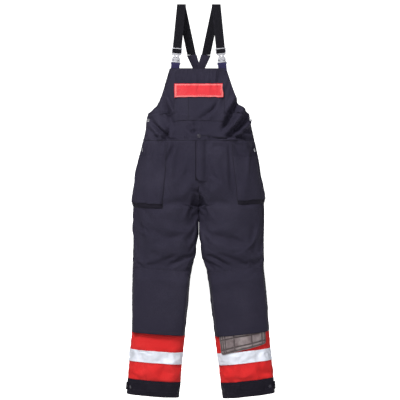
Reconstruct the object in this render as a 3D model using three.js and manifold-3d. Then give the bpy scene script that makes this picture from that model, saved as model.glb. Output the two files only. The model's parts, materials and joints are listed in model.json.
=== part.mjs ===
// A bib-and-brace work overall for firefighting and hot work, hanging by its braces.
// Millimetres, +Z up. The front faces -Y and the wearer's left is +X.
// The origin is the hanging point: midway between the folds of the two braces.
import * as THREE from "three";
import { mergeVertices } from "three/addons/utils/BufferGeometryUtils.js";
import Module from "manifold-3d";

const wasm = await Module();
wasm.setup();

// Overall garment sizes
const braceDrop = 277; // brace fold to the bib's top edge
const bibHeight = 306; // bib's top edge to the waist seam
const rise = 270; // waist seam to crotch
const insideLeg = 807; // crotch to hem
const bibTopWidth = 238;
const underarmDrop = 189; // bib's top edge to the underarm corner
const underarmWidth = 430;
const waistWidth = 472;
const hipWidth = 538;
const hipDrop = 181; // waist seam to the widest hip
const seatWidth = 554;
const closedThigh = 81; // how far below the crotch the legs still touch
const kneeDrop = 272; // crotch to the knee seam
const kneeWidth = 245;
const kneeSpacing = 310; // between the legs' centres at the knee seam
const hemWidth = 222;
const hemSpacing = 408;

// Front to back depths of the filled-out garment
const bibTopDepth = 120;
const bibTopRound = 380; // width of the oval that the bib's top edge lies on
const underarmDepth = 160;
const waistDepth = 190;
const hipDepth = 210;
const thighDepth = 164;
const kneeDepth = 130;
const hemDepth = 104;
const squareness = 2.4; // exponent of the oval sections: 2 is an ellipse

// Cloth, seams and clearances
const cloth = 2.2; // shell of a cloth panel
const seam = 0.9; // gap between neighbouring panels
const lay = 1.2; // gap between a panel and what is sewn on it
const trim = 1.2; // thickness of tapes and facings
const fit = 0.4; // gap between hardware pieces that touch

// Bands round the shin, from the top down
const upperRed = 70;
const silver = 50;
const lowerRed = 76;
const cuff = 66;

// Chest pocket and flap
const chestPocketWidth = 208;
const chestPocketTop = 70; // below the bib's top edge
const chestPocketBottom = 214;
const chestPocketFullness = 4;
const flapTop = 63;
const flapBottom = 119;
const flapStand = 5; // from the bib's face to the flap at its free edge
const hookHeight = 20;
const hookMargin = 4; // hook strip to the flap's free edge

// Thigh and knee pockets
const thighPocketTop = 60; // below the waist seam
const thighPocketBottom = 272;
const thighPocketFullness = 6;
const kneePocketEase = 7.5; // spare room round the pad
const kneePocketRise = 28; // from the knee seam to where the pocket is full
const kneePadWidth = 190;
const kneePadHeight = 225;
const kneePadThickness = 9;
const kneePadSlip = 78; // how far the left pad hangs out of its pocket

// Fly
const zipLength = 168;
const zipTapeWidth = 30;
const chainWidth = 6;
const chainThickness = 1.3;
const sliderWidth = 9;
const sliderLength = 13;
const sliderThickness = 1.6;
const sliderRest = 3; // from the top of the zip to the closed slider
const pullWidth = 6;
const pullLength = 20;
const pullThickness = 1;
const pullHole = 1.6;
const placketWidth = 46;
const placketFree = 12; // from the centre front to the placket's free edge
const placketStand = 9.4; // from the front panels to the inside of the placket

// Buttons and studs
const buttonRadius = 8.5;
const buttonThickness = 2.4;
const shankRadius = 3.2;
const shankHeight = 1.6;
const studRadius = 7;

// Braces and buckles
const braceWidth = 38;
const braceThickness = 2;
const foldSpacing = 148; // between the centres of the two brace folds
const foldRadius = 5;
const tabSpacing = 200;
const yokeSpacing = 62; // between the braces' centres where they meet the yoke
const yokeDrop = 208;
const yokeNotch = 242;
const yokeNeck = 300; // brace fold to the back's top edge
const yokeWaist = 43; // narrowest width of the yoke
const yokeFoot = 56; // width of the yoke where it is sewn to the back
const yokeLap = 28;
const yokeThickness = 2.6;
const buckleSet = 5.6; // buckle's mid plane in front of the brace's
const buckleDrop = 188; // top of the front run to the top of the adjuster
const buckleWidth = 46;
const buckleThickness = 3.4;
const adjusterHeight = 27;
const barHeight = 4;
const neckWidth = 27;
const neckHeight = 16;
const prongWidth = 5;
const prongSpacing = 22;
const prongLength = 15;
const prongRoom = 2; // below the prongs in the socket
const socketWidth = 40;
const socketThickness = 8.6;
const socketFloor = 2.5;
const windowHeight = 8;
const tabSlot = 4.2;
const tabBarHeight = 3;
const tabBarThickness = 4;
const tabWidth = 36;
const tabStand = 2.6; // from the bib's top edge to the foot of the tab
const loopWall = 1.7; // webbing that wraps round a bar
const braceTail = 40; // the brace's end, turned up behind the adjuster

// Hem tabs
const hemTabHeight = 26;
const hemTabThickness = 1.8;
const hemTabStand = 4.2; // from the cuff to the inside of the tab
const hemSocketThickness = 2;

const waistLevel = -(braceDrop + bibHeight);
const bibTopLevel = -braceDrop;
const hemDrop = rise + insideLeg;
const legTilt = Math.atan2((hemSpacing - kneeSpacing) / 2, insideLeg - kneeDrop);
const bandsHeight = upperRed + silver + lowerRed + cuff;
const slope = Math.cos(legTilt);
const bandDrops = [bandsHeight, bandsHeight - upperRed, lowerRed + cuff, cuff, 0].map(
  (height) => hemDrop - height * slope
);
const kneeSeamDrop = rise + kneeDrop;
const forkDrop = rise - 90; // where the crotch curve leaves the centre front

const finishes = {
  navy: { color: 0x3a3844, roughness: 0.95, metalness: 0 },
  darkNavy: { color: 0x23212d, roughness: 0.95, metalness: 0 },
  webbing: { color: 0x1c1b22, roughness: 0.9, metalness: 0 },
  red: { color: 0xe23232, roughness: 0.85, metalness: 0 },
  silverTape: { color: 0xe1e6f2, roughness: 0.45, metalness: 0.1 },
  pad: { color: 0x645555, roughness: 0.7, metalness: 0 },
  buckle: { color: 0x96969b, roughness: 0.35, metalness: 0.7 },
  metal: { color: 0xb8b8bc, roughness: 0.3, metalness: 0.9 },
};

const garment = new THREE.Group();

// The right half is the mirror image of the left.
const halves = [1, -1].map((side) => {
  const half = new THREE.Group();
  half.scale.x = side;
  garment.add(half);
  return { side, half, name: side > 0 ? "left" : "right" };
});

function addPiece(name, geometry, finish, parent = garment) {
  const piece = new THREE.Mesh(geometry, new THREE.MeshStandardMaterial(finishes[finish]));
  piece.name = name;
  parent.add(piece);
  return piece;
}

const mix = (a, b, share) => a + (b - a) * share;

// A closed slab between two grids of points. A ring closes on itself along its rows.
function slab(outer, inner, ring = false) {
  const rows = outer.length;
  const columns = outer[0].length;
  const spans = ring ? columns : columns - 1;
  const faces = [];
  const at = (layer, row, column) => (layer * rows + row) * columns + (column % columns);
  const quad = (a, b, c, d) => faces.push(a, b, c, a, c, d);
  for (let row = 0; row < rows - 1; row++) {
    for (let column = 0; column < spans; column++) {
      const [next, below] = [column + 1, row + 1];
      quad(at(0, row, column), at(0, row, next), at(0, below, next), at(0, below, column));
      quad(at(1, row, column), at(1, below, column), at(1, below, next), at(1, row, next));
    }
  }
  for (let column = 0; column < spans; column++) {
    const [next, last] = [column + 1, rows - 1];
    quad(at(0, 0, column), at(1, 0, column), at(1, 0, next), at(0, 0, next));
    quad(at(0, last, next), at(1, last, next), at(1, last, column), at(0, last, column));
  }
  for (let row = 0; !ring && row < rows - 1; row++) {
    const [below, last] = [row + 1, columns - 1];
    quad(at(0, row, 0), at(0, below, 0), at(1, below, 0), at(1, row, 0));
    quad(at(0, below, last), at(0, row, last), at(1, row, last), at(1, below, last));
  }
  const points = [...outer.flat(), ...inner.flat()];
  return turnOut(new THREE.BufferGeometry().setFromPoints(points).setIndex(faces));
}

// Faces point out of the solid whichever way round its points were laid.
function turnOut(geometry) {
  const place = geometry.getAttribute("position");
  const index = geometry.getIndex();
  const corner = (k) => new THREE.Vector3().fromBufferAttribute(place, index.getX(k));
  let volume = 0;
  for (let k = 0; k < index.count; k += 3) {
    volume += corner(k).dot(corner(k + 1).cross(corner(k + 2)));
  }
  for (let k = 0; volume < 0 && k < index.count; k += 3) {
    const swapped = index.getX(k);
    index.setX(k, index.getX(k + 1));
    index.setX(k + 1, swapped);
  }
  geometry.computeVertexNormals();
  return geometry;
}

function solid(geometry) {
  const bare = geometry.clone();
  bare.deleteAttribute("normal");
  bare.deleteAttribute("uv");
  const merged = mergeVertices(bare, 1e-4);
  const vertProperties = new Float32Array(merged.getAttribute("position").array);
  const triVerts = new Uint32Array(merged.getIndex().array);
  return new wasm.Manifold(new wasm.Mesh({ numProp: 3, vertProperties, triVerts }));
}

function combine(base, added, removed = []) {
  let whole = solid(base);
  for (const piece of added) whole = whole.add(solid(piece));
  for (const piece of removed) whole = whole.subtract(solid(piece));
  const mesh = whole.getMesh();
  const geometry = new THREE.BufferGeometry();
  geometry.setAttribute("position", new THREE.BufferAttribute(mesh.vertProperties, 3));
  geometry.setIndex(new THREE.BufferAttribute(mesh.triVerts, 1));
  geometry.computeVertexNormals();
  return geometry;
}

function block(width, depth, height, x = 0, y = 0, z = 0) {
  return new THREE.BoxGeometry(width, depth, height).translate(x, y, z);
}

// An oval's coordinate from a sine or cosine.
const bulge = (value) => Math.sign(value) * Math.abs(value) ** (2 / squareness);

// Rows of a grid: the feature lines inside a stretch, and its two ends.
function between(lines, start, end) {
  return [start, ...lines.filter((line) => line > start + 1e-6 && line < end - 1e-6), end];
}

// ---- Trousers: one half, from the waist seam to the hem ----

// Each row: drop below the waist seam, centre x, half width, half depth, tilt of the section
const legForm = [
  [0, waistWidth / 4, waistWidth / 4, waistDepth / 2, 0],
  [hipDrop, hipWidth / 4, hipWidth / 4, hipDepth / 2, 0],
  [rise, seatWidth / 4, seatWidth / 4, thighDepth / 2, 0],
  [rise + closedThigh, seatWidth / 4, seatWidth / 4, thighDepth / 2, legTilt * 0.3],
  [kneeSeamDrop, kneeSpacing / 2, kneeWidth / 2, kneeDepth / 2, legTilt],
  [hemDrop, hemSpacing / 2, hemWidth / 2, hemDepth / 2, legTilt],
];

function legSection(drop) {
  const last = legForm.length - 2;
  const found = legForm.findIndex((row, k) => k <= last && drop <= legForm[k + 1][0]);
  const [above, below] = [legForm[found], legForm[found + 1]];
  const share = (drop - above[0]) / (below[0] - above[0]);
  return above.map((value, k) => mix(value, below[k], share));
}

// How far the section has turned from half a hip oval into a closed leg oval.
function forkAt(drop) {
  const share = THREE.MathUtils.clamp((drop - forkDrop) / (rise - forkDrop), 0, 1);
  return 1 - Math.sqrt(1 - share * share);
}

// turn runs 0 to 1 over the front, from the inner edge to the side, and 1 to 2 over the back.
function legPoint(turn, drop) {
  const [, centre, half, depth, tilt] = legSection(drop);
  const share = turn <= 1 ? turn : 2 - turn;
  const face = turn <= 1 ? -1 : 1;
  const fork = forkAt(drop);
  const hipX = (centre + half) * bulge(Math.sin((share * Math.PI) / 2));
  const hipY = depth * bulge(Math.cos((share * Math.PI) / 2));
  const legX = centre - half * bulge(Math.cos(share * Math.PI));
  const legY = depth * bulge(Math.sin(share * Math.PI));
  const out = mix(hipX, legX, fork) - centre;
  const x = seam / 2 + centre + out * Math.cos(tilt);
  const z = waistLevel - drop + out * Math.sin(tilt);
  return new THREE.Vector3(x, face * mix(hipY, legY, fork), z);
}

const legTurns = 16; // columns round one leg
const sideColumn = legTurns / 2;
const forkRows = [0.5, 0.8].map((share) => mix(forkDrop, rise, share));
const kneeRows = [0.33, 0.67].map((share) => mix(kneeSeamDrop, bandDrops[0], share));
const legRows = [
  0,
  thighPocketTop,
  mix(thighPocketTop, hipDrop, 0.5),
  forkDrop,
  ...forkRows,
  rise,
  thighPocketBottom + 2,
  rise + closedThigh,
  mix(rise + closedThigh, kneeSeamDrop, 0.5),
  kneeSeamDrop,
  kneeSeamDrop + kneePocketRise,
  ...kneeRows,
  ...bandDrops,
];

function legNormal(turn, drop) {
  const step = 1e-3;
  const side = legPoint(Math.min(2, turn + step), drop).sub(legPoint(Math.max(0, turn - step), drop));
  if (Math.abs(turn - 1) < step) side.set(0, 1, 0);
  const down = legPoint(turn, Math.min(hemDrop, drop + 1)).sub(legPoint(turn, Math.max(0, drop - 1)));
  return side.cross(down).negate().normalize();
}

const legNodes = legRows.map((drop) =>
  Array.from({ length: legTurns + 1 }, (_, column) => {
    const turn = (2 * column) / legTurns;
    return { point: legPoint(turn, drop), normal: legNormal(turn, drop) };
  })
);

// A point on the faceted leg, lifted off it. column and drop may fall between the grid's lines.
function onLeg(side, column, drop, lift) {
  const row = Math.max(0, Math.min(legRows.length - 2, legRows.findLastIndex((line) => line <= drop)));
  const down = (drop - legRows[row]) / (legRows[row + 1] - legRows[row]);
  const left = Math.min(legTurns - 1, Math.floor(column));
  const node = (r, c) => {
    const { point, normal } = legNodes[r][c];
    return point.clone().addScaledVector(normal, lift);
  };
  const top = node(row, left).lerp(node(row, left + 1), column - left);
  const bottom = node(row + 1, left).lerp(node(row + 1, left + 1), column - left);
  const found = top.lerp(bottom, down);
  found.x *= side;
  return found;
}

const legColumns = Array.from({ length: legTurns + 1 }, (_, column) => column);

// A shell over part of a leg. lift gives how far its inner face stands off the leg.
function legPatch(side, columns, drops, lift, thickness, ring = false) {
  const liftAt = typeof lift === "function" ? lift : () => lift;
  const across = ring ? legColumns.slice(0, -1) : between(legColumns, ...columns);
  const grid = (extra) =>
    between(legRows, ...drops).map((drop) =>
      across.map((column) => onLeg(side, column, drop, liftAt(column, drop) + extra))
    );
  return slab(grid(thickness), grid(0), ring);
}

const seamColumns = 0.02; // seam allowance at a panel's edge, in columns

function addLeg(side, name) {
  const shell = (columns, drops) => legPatch(side, columns, drops, -cloth, cloth);
  const panelDrops = [seam, bandDrops[0] - seam];
  const front = [seamColumns, sideColumn - seamColumns];
  const back = [sideColumn + seamColumns, legTurns - seamColumns];
  addPiece(name + "_front_leg", shell(front, panelDrops), "navy");
  addPiece(name + "_back_leg", shell(back, panelDrops), "navy");
  const ring = (drops, lift, thickness) => legPatch(side, null, drops, lift, thickness, true);
  addPiece(name + "_red_band", ring([bandDrops[0], bandDrops[3] - seam], -cloth, cloth), "red");
  addPiece(name + "_silver_tape", ring([bandDrops[1], bandDrops[2]], fit, trim / 2), "silverTape");
  addPiece(name + "_hem_cuff", ring([bandDrops[3], bandDrops[4]], -cloth, cloth), "darkNavy");
}

// How full a pocket stands between its sewn edges, 0 at the edge and 1 inside.
const ramp = (value, start, width) => THREE.MathUtils.clamp((value - start) / width, 0, 1);

function addThighPocket(side, name) {
  const columns = [3, sideColumn + 2];
  const lift = (column, drop) => {
    const sides = ramp(column, columns[0], 1) * ramp(-column, -columns[1], 1);
    const fall = 0.35 + 0.65 * ramp(drop, thighPocketTop, hipDrop - thighPocketTop);
    return lay + thighPocketFullness * sides * fall * ramp(-drop, -thighPocketBottom, 6);
  };
  const drops = [thighPocketTop, thighPocketBottom];
  addPiece(name + "_thigh_pocket", legPatch(side, columns, drops, lift, cloth), "navy");
}

// A pad that slides down a tapering leg needs more room than its own thickness.
const legTaper = (kneeWidth - hemWidth) / 2 / (insideLeg - kneeDrop);
const kneePocketFullness = kneePadThickness + kneePocketEase + kneePadSlip * legTaper;

function addKneePocket(side, name) {
  const columns = [0.9, sideColumn - 0.9];
  const lift = (column, drop) => {
    const sides = ramp(column, columns[0], 1) * ramp(-column, -columns[1], 1);
    return lay + kneePocketFullness * sides * ramp(drop, kneeSeamDrop, kneePocketRise);
  };
  const drops = [kneeSeamDrop, bandDrops[0] - 4];
  addPiece(name + "_knee_pocket", legPatch(side, columns, drops, lift, cloth), "navy");
}

// Down the leg, along its centre line below the knee.
const legDown = (side) => new THREE.Vector3(side * Math.sin(legTilt), 0, -Math.cos(legTilt));

function addKneePad(side, name, slip) {
  const wrap = Math.acos(bulgeBack(kneePadWidth / kneeWidth)) / Math.PI;
  const columns = [wrap * sideColumn, (1 - wrap) * sideColumn];
  const bottom = bandDrops[0] - 14;
  const drops = [bottom - kneePadHeight, bottom];
  const geometry = legPatch(side, columns, drops, lay + 4, kneePadThickness);
  const down = legDown(side).multiplyScalar(slip);
  geometry.translate(down.x, down.y, down.z);
  addPiece(name + "_knee_pad", geometry, "pad");
}

// The cosine whose bulge is the given share of an oval.
function bulgeBack(share) {
  return share ** (squareness / 2);
}

// ---- Bib ----

// Each row: drop below the bib's top edge, half width and half depth of the body's oval
const bibForm = [
  [0, bibTopRound / 2, bibTopDepth / 2],
  [underarmDrop, underarmWidth / 2, underarmDepth / 2],
  [bibHeight, waistWidth / 2, waistDepth / 2],
];

function bibOval(drop) {
  const below = drop <= underarmDrop ? 1 : 2;
  const [from, to] = [bibForm[below - 1], bibForm[below]];
  const share = (drop - from[0]) / (to[0] - from[0]);
  return [mix(from[1], to[1], share), mix(from[2], to[2], share)];
}

function frontHalfWidth(drop) {
  const share = Math.min(1, drop / underarmDrop);
  const curve = 0.66 * share + 0.34 * share ** 6;
  return drop >= underarmDrop ? bibOval(drop)[0] : mix(bibTopWidth, underarmWidth, curve) / 2;
}

const backTop = yokeNeck - braceDrop;
const backTopWidth = 56;

function backHalfWidth(drop) {
  const share = THREE.MathUtils.clamp((drop - backTop) / (underarmDrop - backTop), 0, 1);
  const curve = 0.5 * share + 0.5 * share ** 3;
  return drop >= underarmDrop ? bibOval(drop)[0] : mix(backTopWidth, underarmWidth, curve) / 2;
}

const innerColumns = 4; // across the chest pocket
const outerColumns = 4; // from the pocket's edge to the side, on each side

// The angle share, -1 to 1, at which a column crosses a row of the bib.
function bibAngle(column, drop, halfWidth, innerHalf) {
  const [round] = bibOval(drop);
  const angleOf = (x) => (2 / Math.PI) * Math.asin(Math.min(1, (x / round) ** (squareness / 2)));
  const from = Math.abs(column - innerColumns / 2 - outerColumns) - innerColumns / 2;
  const sign = Math.sign(column - innerColumns / 2 - outerColumns);
  const inside = Math.min(innerHalf, halfWidth * 0.9);
  if (from <= 0) return sign * angleOf(inside * (1 + from / (innerColumns / 2)));
  return sign * mix(angleOf(inside), angleOf(halfWidth), from / outerColumns);
}

function bibPoint(angle, drop, face, lift) {
  const [round, depth] = bibOval(drop);
  const reach = Math.min(Math.abs(angle), 1) * (Math.PI / 2);
  const x = Math.sign(angle) * round * bulge(Math.sin(reach));
  const y = face * depth * bulge(Math.cos(reach));
  const away = new THREE.Vector3(x / round ** 2, y / depth ** 2, 0);
  if (Math.abs(angle) > 0.999) away.set(Math.sign(angle), 0, 0);
  const gap = Math.abs(angle) > 0.999 ? face * (seam / 2) : 0;
  return new THREE.Vector3(x, y + gap, bibTopLevel - drop).addScaledVector(away.normalize(), lift);
}

const bibColumns = Array.from({ length: innerColumns + 2 * outerColumns + 1 }, (_, column) => column);
const pocketColumns = bibColumns.slice(outerColumns, outerColumns + innerColumns + 1);
const bibRows = [
  30,
  flapTop,
  chestPocketTop,
  95,
  flapBottom,
  155,
  underarmDrop,
  chestPocketBottom,
  260,
].sort((a, b) => a - b);

function bibPatch(face, columns, drops, halfWidth, lift, thickness) {
  const liftAt = typeof lift === "function" ? lift : () => lift;
  const grid = (extra) =>
    between(bibRows, ...drops).map((drop) =>
      columns.map((column) => {
        const angle = bibAngle(column, drop, halfWidth(drop), chestPocketWidth / 2);
        return bibPoint(angle, drop, face, liftAt(column, drop) + extra);
      })
    );
  return slab(grid(thickness), grid(0));
}

function addBib() {
  const bottom = bibHeight - fit;
  addPiece("bib_front", bibPatch(-1, bibColumns, [0, bottom], frontHalfWidth, -cloth, cloth), "navy");
  addPiece("bib_back", bibPatch(1, bibColumns, [backTop, bottom], backHalfWidth, -cloth, cloth), "navy");
  const elasticColumns = bibColumns.slice(2, -2);
  const elastic = bibPatch(1, elasticColumns, [262, bottom], backHalfWidth, lay, cloth);
  addPiece("back_waist_elastic", elastic, "navy");
}

function addChestPocket() {
  const lift = (column, drop) => {
    const sides = ramp(column, pocketColumns[0], 1) * ramp(-column, -pocketColumns.at(-1), 1);
    const foot = ramp(-drop, -chestPocketBottom, 40);
    const mouth = 0.25 + 0.75 * ramp(drop, flapBottom, 36);
    return lay + chestPocketFullness * sides * foot * mouth;
  };
  const drops = [chestPocketTop, chestPocketBottom];
  const pocket = bibPatch(-1, pocketColumns, drops, frontHalfWidth, lift, cloth);
  addPiece("chest_pocket", pocket, "navy");
  const pocketFace = lay + 0.25 * chestPocketFullness + cloth;
  const flapLift = (column, drop) => pocketFace + mix(0.6, flapStand, ramp(drop, flapTop, 20));
  const flap = bibPatch(-1, pocketColumns, [flapTop, flapBottom], frontHalfWidth, flapLift, cloth);
  addPiece("chest_flap", flap, "red");
  return pocketFace;
}

// Touch-and-close strips between the flap and the pocket.
function addHookStrips(pocketFace) {
  const columns = pocketColumns.slice(1, -1);
  const drops = [flapBottom - hookMargin - hookHeight, flapBottom - hookMargin];
  const strip = (lift) => bibPatch(-1, columns, drops, frontHalfWidth, lift, trim);
  addPiece("chest_pocket_loop_strip", strip(pocketFace + fit), "darkNavy");
  addPiece("chest_flap_hook_strip", strip(pocketFace + flapStand - fit - trim), "darkNavy");
}

// ---- Fly ----

// The fly lies in the plane of the centre front: down is -Z and outwards is -Y.
const fly = new THREE.Group();
fly.position.set(0, -waistDepth / 2, waistLevel - seam);
fly.rotation.x = -Math.atan2((hipDepth - waistDepth) / 2, hipDrop);
garment.add(fly);

// An outline drawn in x and z, given a thickness along y.
function plate(outline, thickness, y = 0) {
  const geometry = new THREE.ExtrudeGeometry(outline, { depth: thickness, bevelEnabled: false });
  return geometry.rotateX(Math.PI / 2).translate(0, y + thickness / 2, 0);
}

// An outline drawn in y and z, given a width along x.
function ribbon(outline, width) {
  const geometry = new THREE.ExtrudeGeometry(outline, { depth: width, bevelEnabled: false });
  const axes = [new THREE.Vector3(0, 1, 0), new THREE.Vector3(0, 0, 1), new THREE.Vector3(1, 0, 0)];
  return geometry.applyMatrix4(new THREE.Matrix4().makeBasis(...axes)).translate(-width / 2, 0, 0);
}

const outlineOf = (points) => new THREE.Shape(points.map(([x, y]) => new THREE.Vector2(x, y)));

function rectangle(x0, y0, x1, y1) {
  return outlineOf([
    [x0, y0],
    [x1, y0],
    [x1, y1],
    [x0, y1],
  ]);
}

function addFly() {
  const tapeThickness = trim / 2;
  const tapeY = -fit - tapeThickness / 2;
  const tape = block(zipTapeWidth, tapeThickness, zipLength, 0, tapeY, -zipLength / 2);
  const chainY = -fit - tapeThickness - chainThickness / 2 + 0.1;
  const chain = block(chainWidth, chainThickness + 0.1, zipLength, 0, chainY, -zipLength / 2);
  addPiece("zip_chain", combine(tape, [chain]), "darkNavy", fly);
  const chainFace = -fit - tapeThickness - chainThickness - fit;
  const crownY = chainFace - sliderThickness / 2;
  const sliderZ = -sliderRest - sliderLength / 2;
  const crown = block(sliderWidth, sliderThickness, sliderLength, 0, crownY, sliderZ);
  const flangeWidth = (sliderWidth - chainWidth) / 2 - fit;
  const flangeY = chainFace + chainThickness / 2 - 0.2;
  const flanges = [-1, 1].map((way) => {
    const x = way * (sliderWidth - flangeWidth) * 0.5;
    return block(flangeWidth, chainThickness, sliderLength, x, flangeY, sliderZ);
  });
  addPiece("zip_slider", combine(crown, flanges), "metal", fly);
  const pullShape = rectangle(-pullWidth / 2, -sliderRest - pullLength, pullWidth / 2, -sliderRest);
  const holeZ = -sliderRest - pullLength + 2 * pullHole;
  const hole = new THREE.Path().absarc(0, holeZ, pullHole, 0, 2 * Math.PI);
  pullShape.holes.push(hole);
  const pullY = chainFace - sliderThickness - fit - pullThickness / 2;
  addPiece("zip_pull", plate(pullShape, pullThickness, pullY), "metal", fly);
  addPlacket();
}

function addPlacket() {
  const sewn = placketWidth - placketFree;
  const flat = chainWidth + 2 * fit;
  const path = [
    [sewn, lay],
    [flat, placketStand],
    [-flat, placketStand],
    [-placketFree, placketStand / 2],
  ];
  const grid = (extra) =>
    [0, -zipLength - lay].map((z) => path.map(([x, stand]) => new THREE.Vector3(x, -stand - extra, z)));
  addPiece("fly_placket", slab(grid(cloth), grid(0)), "navy", fly);
}

// ---- Buttons and studs ----

// A round head on a shank, standing on its own origin along +Z.
function buttonShape(radius, thickness, shank) {
  const profile = [
    [0, 0],
    [shankRadius, 0],
    [shankRadius, shank],
    [radius, shank],
    [radius, shank + thickness * 0.6],
    [radius * 0.8, shank + thickness],
    [0, shank + thickness],
  ].map(([x, y]) => new THREE.Vector2(x, y));
  return new THREE.LatheGeometry(profile, 16).rotateX(Math.PI / 2);
}

function placeOn(piece, point, away, lift) {
  piece.position.copy(point).addScaledVector(away, lift);
  piece.quaternion.setFromUnitVectors(new THREE.Vector3(0, 0, 1), away);
}

function addButton(name, point, away, parent) {
  const piece = addPiece(name, buttonShape(buttonRadius, buttonThickness, shankHeight), "metal", parent);
  placeOn(piece, point, away, fit);
}

const waistButtonDrop = 286; // below the bib's top edge
const sideButtonDrops = [218, bibHeight + 36];
const sideButtonTurn = 0.9; // share of the way from the centre front to the side

function addSideButtons(half, name) {
  const [upper, lower] = sideButtonDrops;
  const onBib = bibPoint(sideButtonTurn, upper, -1, 0);
  const bibAway = bibPoint(sideButtonTurn, upper, -1, 1).sub(onBib);
  addButton(name + "_side_button_upper", onBib, bibAway, half);
  const drop = lower - bibHeight;
  addButton(
    name + "_side_button_lower",
    legPoint(sideButtonTurn, drop),
    legNormal(sideButtonTurn, drop),
    half
  );
}

function addWaistButton() {
  const point = bibPoint(0, waistButtonDrop, -1, 0);
  addButton("waist_button", point, new THREE.Vector3(0, -1, 0), garment);
}

function addHemTab(half, name) {
  const middle = mix(bandDrops[3], bandDrops[4], 0.5);
  const drops = [middle - hemTabHeight / 2, middle + hemTabHeight / 2];
  const columns = [sideColumn - 1, sideColumn + 1];
  const tab = legPatch(1, columns, drops, hemTabStand, hemTabThickness);
  addPiece(name + "_hem_tab", tab, "darkNavy", half);
  const studColumn = sideColumn - 0.6;
  const facing = (column) => {
    const along = onLeg(1, column + 0.1, middle, 0).sub(onLeg(1, column - 0.1, middle, 0));
    return along.cross(legDown(1)).negate().normalize();
  };
  const stud = new THREE.LatheGeometry(
    [
      [0, 0],
      [studRadius, 0],
      [studRadius, buttonThickness * 0.5],
      [studRadius * 0.7, buttonThickness * 0.8],
      [0, buttonThickness * 0.8],
    ].map(([x, y]) => new THREE.Vector2(x, y)),
    16
  ).rotateX(Math.PI / 2);
  const head = addPiece(name + "_hem_stud", stud, "metal", half);
  placeOn(head, onLeg(1, studColumn, middle, 0), facing(studColumn), hemTabStand + hemTabThickness + fit);
  for (const [place, column] of [
    ["rear", studColumn],
    ["front", studColumn - 1],
  ]) {
    const disc = new THREE.CylinderGeometry(studRadius, studRadius, hemSocketThickness, 16);
    disc.rotateX(Math.PI / 2).translate(0, 0, hemSocketThickness / 2);
    const socket = addPiece(name + "_hem_socket_" + place, disc, "metal", half);
    placeOn(socket, onLeg(1, column, middle, 0), facing(column), lay);
  }
}

// ---- Braces ----

// The yoke and the braces' back runs share one plane from the folds to the back's top edge.
const footY = bibOval(backTop)[1] + lay + yokeThickness / 2 + 1;
const backSlope = (footY - foldRadius) / (yokeNeck - foldRadius);
const onBackPlane = (x, drop) => new THREE.Vector3(x, foldRadius + (drop - foldRadius) * backSlope, -drop);

function addYoke() {
  const wing = braceWidth / 2 + 1;
  const right = [
    [yokeSpacing / 2 - wing, yokeDrop + fit],
    [yokeSpacing / 2 + wing, yokeDrop + fit],
    [yokeWaist / 2, braceDrop],
    [yokeFoot / 2, yokeNeck],
    [yokeFoot / 2, yokeNeck + yokeLap],
  ];
  const left = right.map(([x, drop]) => [-x, drop]).reverse();
  const outline = outlineOf([[0, yokeNotch], ...right, ...left].map(([x, drop]) => [x, -drop]));
  const geometry = plate(outline, yokeThickness);
  const lean = new THREE.Matrix4().makeShear(0, 0, 0, 0, 0, 0);
  lean.elements[9] = -backSlope;
  geometry.applyMatrix4(lean).translate(0, foldRadius - foldRadius * backSlope, 0);
  addPiece("strap_yoke", geometry, "navy");
}

// The front run's own frame: -Z runs down the brace and -Y faces outwards.
function addBrace(half, name) {
  const foldX = foldSpacing / 2;
  const tabX = tabSpacing / 2;
  const edgeAngle = (2 / Math.PI) * Math.asin((tabX / (bibTopRound / 2)) ** (squareness / 2));
  const tabPoint = bibPoint(edgeAngle, 0, -1, -cloth / 2);
  const top = new THREE.Vector3(foldX, -foldRadius - buckleSet, -foldRadius);
  const up = top.clone().sub(tabPoint).normalize();
  const across = new THREE.Vector3(1, 0, 0).addScaledVector(up, -up.x).normalize();
  const back = up.clone().cross(across);
  const run = new THREE.Group();
  run.position.copy(top);
  run.quaternion.setFromRotationMatrix(new THREE.Matrix4().makeBasis(across, back, up));
  half.add(run);
  const runLength = top.distanceTo(tabPoint);
  addWebbing(half, name, top, { up, across, back });
  addBuckle(run, name, runLength);
}

function addWebbing(half, name, top, { up, across, back }) {
  const stations = [];
  const lowest = buckleDrop + adjusterHeight + 2;
  for (const drop of [lowest, 0]) {
    const centre = top.clone().addScaledVector(up, -drop).addScaledVector(back, buckleSet);
    stations.push([centre, across, back.clone().negate()]);
  }
  const flat = new THREE.Vector3(1, 0, 0);
  for (const angle of [150, 120, 90, 60, 30]) {
    const [y, z] = [Math.cos((angle * Math.PI) / 180), Math.sin((angle * Math.PI) / 180)];
    const away = new THREE.Vector3(0, y, z);
    const centre = new THREE.Vector3(foldSpacing / 2, foldRadius * y, foldRadius * (z - 1));
    stations.push([centre, flat, away]);
  }
  const backAway = new THREE.Vector3(0, 1, backSlope).normalize();
  for (const [x, drop] of [
    [foldSpacing / 2, foldRadius * 2],
    [yokeSpacing / 2, yokeDrop],
  ]) {
    stations.push([onBackPlane(x, drop), flat, backAway]);
  }
  const grid = (way) =>
    stations.map(([centre, side, away]) =>
      [-1, 1].map((edge) =>
        centre
          .clone()
          .addScaledVector(side, (edge * braceWidth) / 2)
          .addScaledVector(away, (way * braceThickness) / 2)
      )
    );
  addPiece(name + "_brace", slab(grid(1), grid(-1)), "webbing", half);
}

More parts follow.
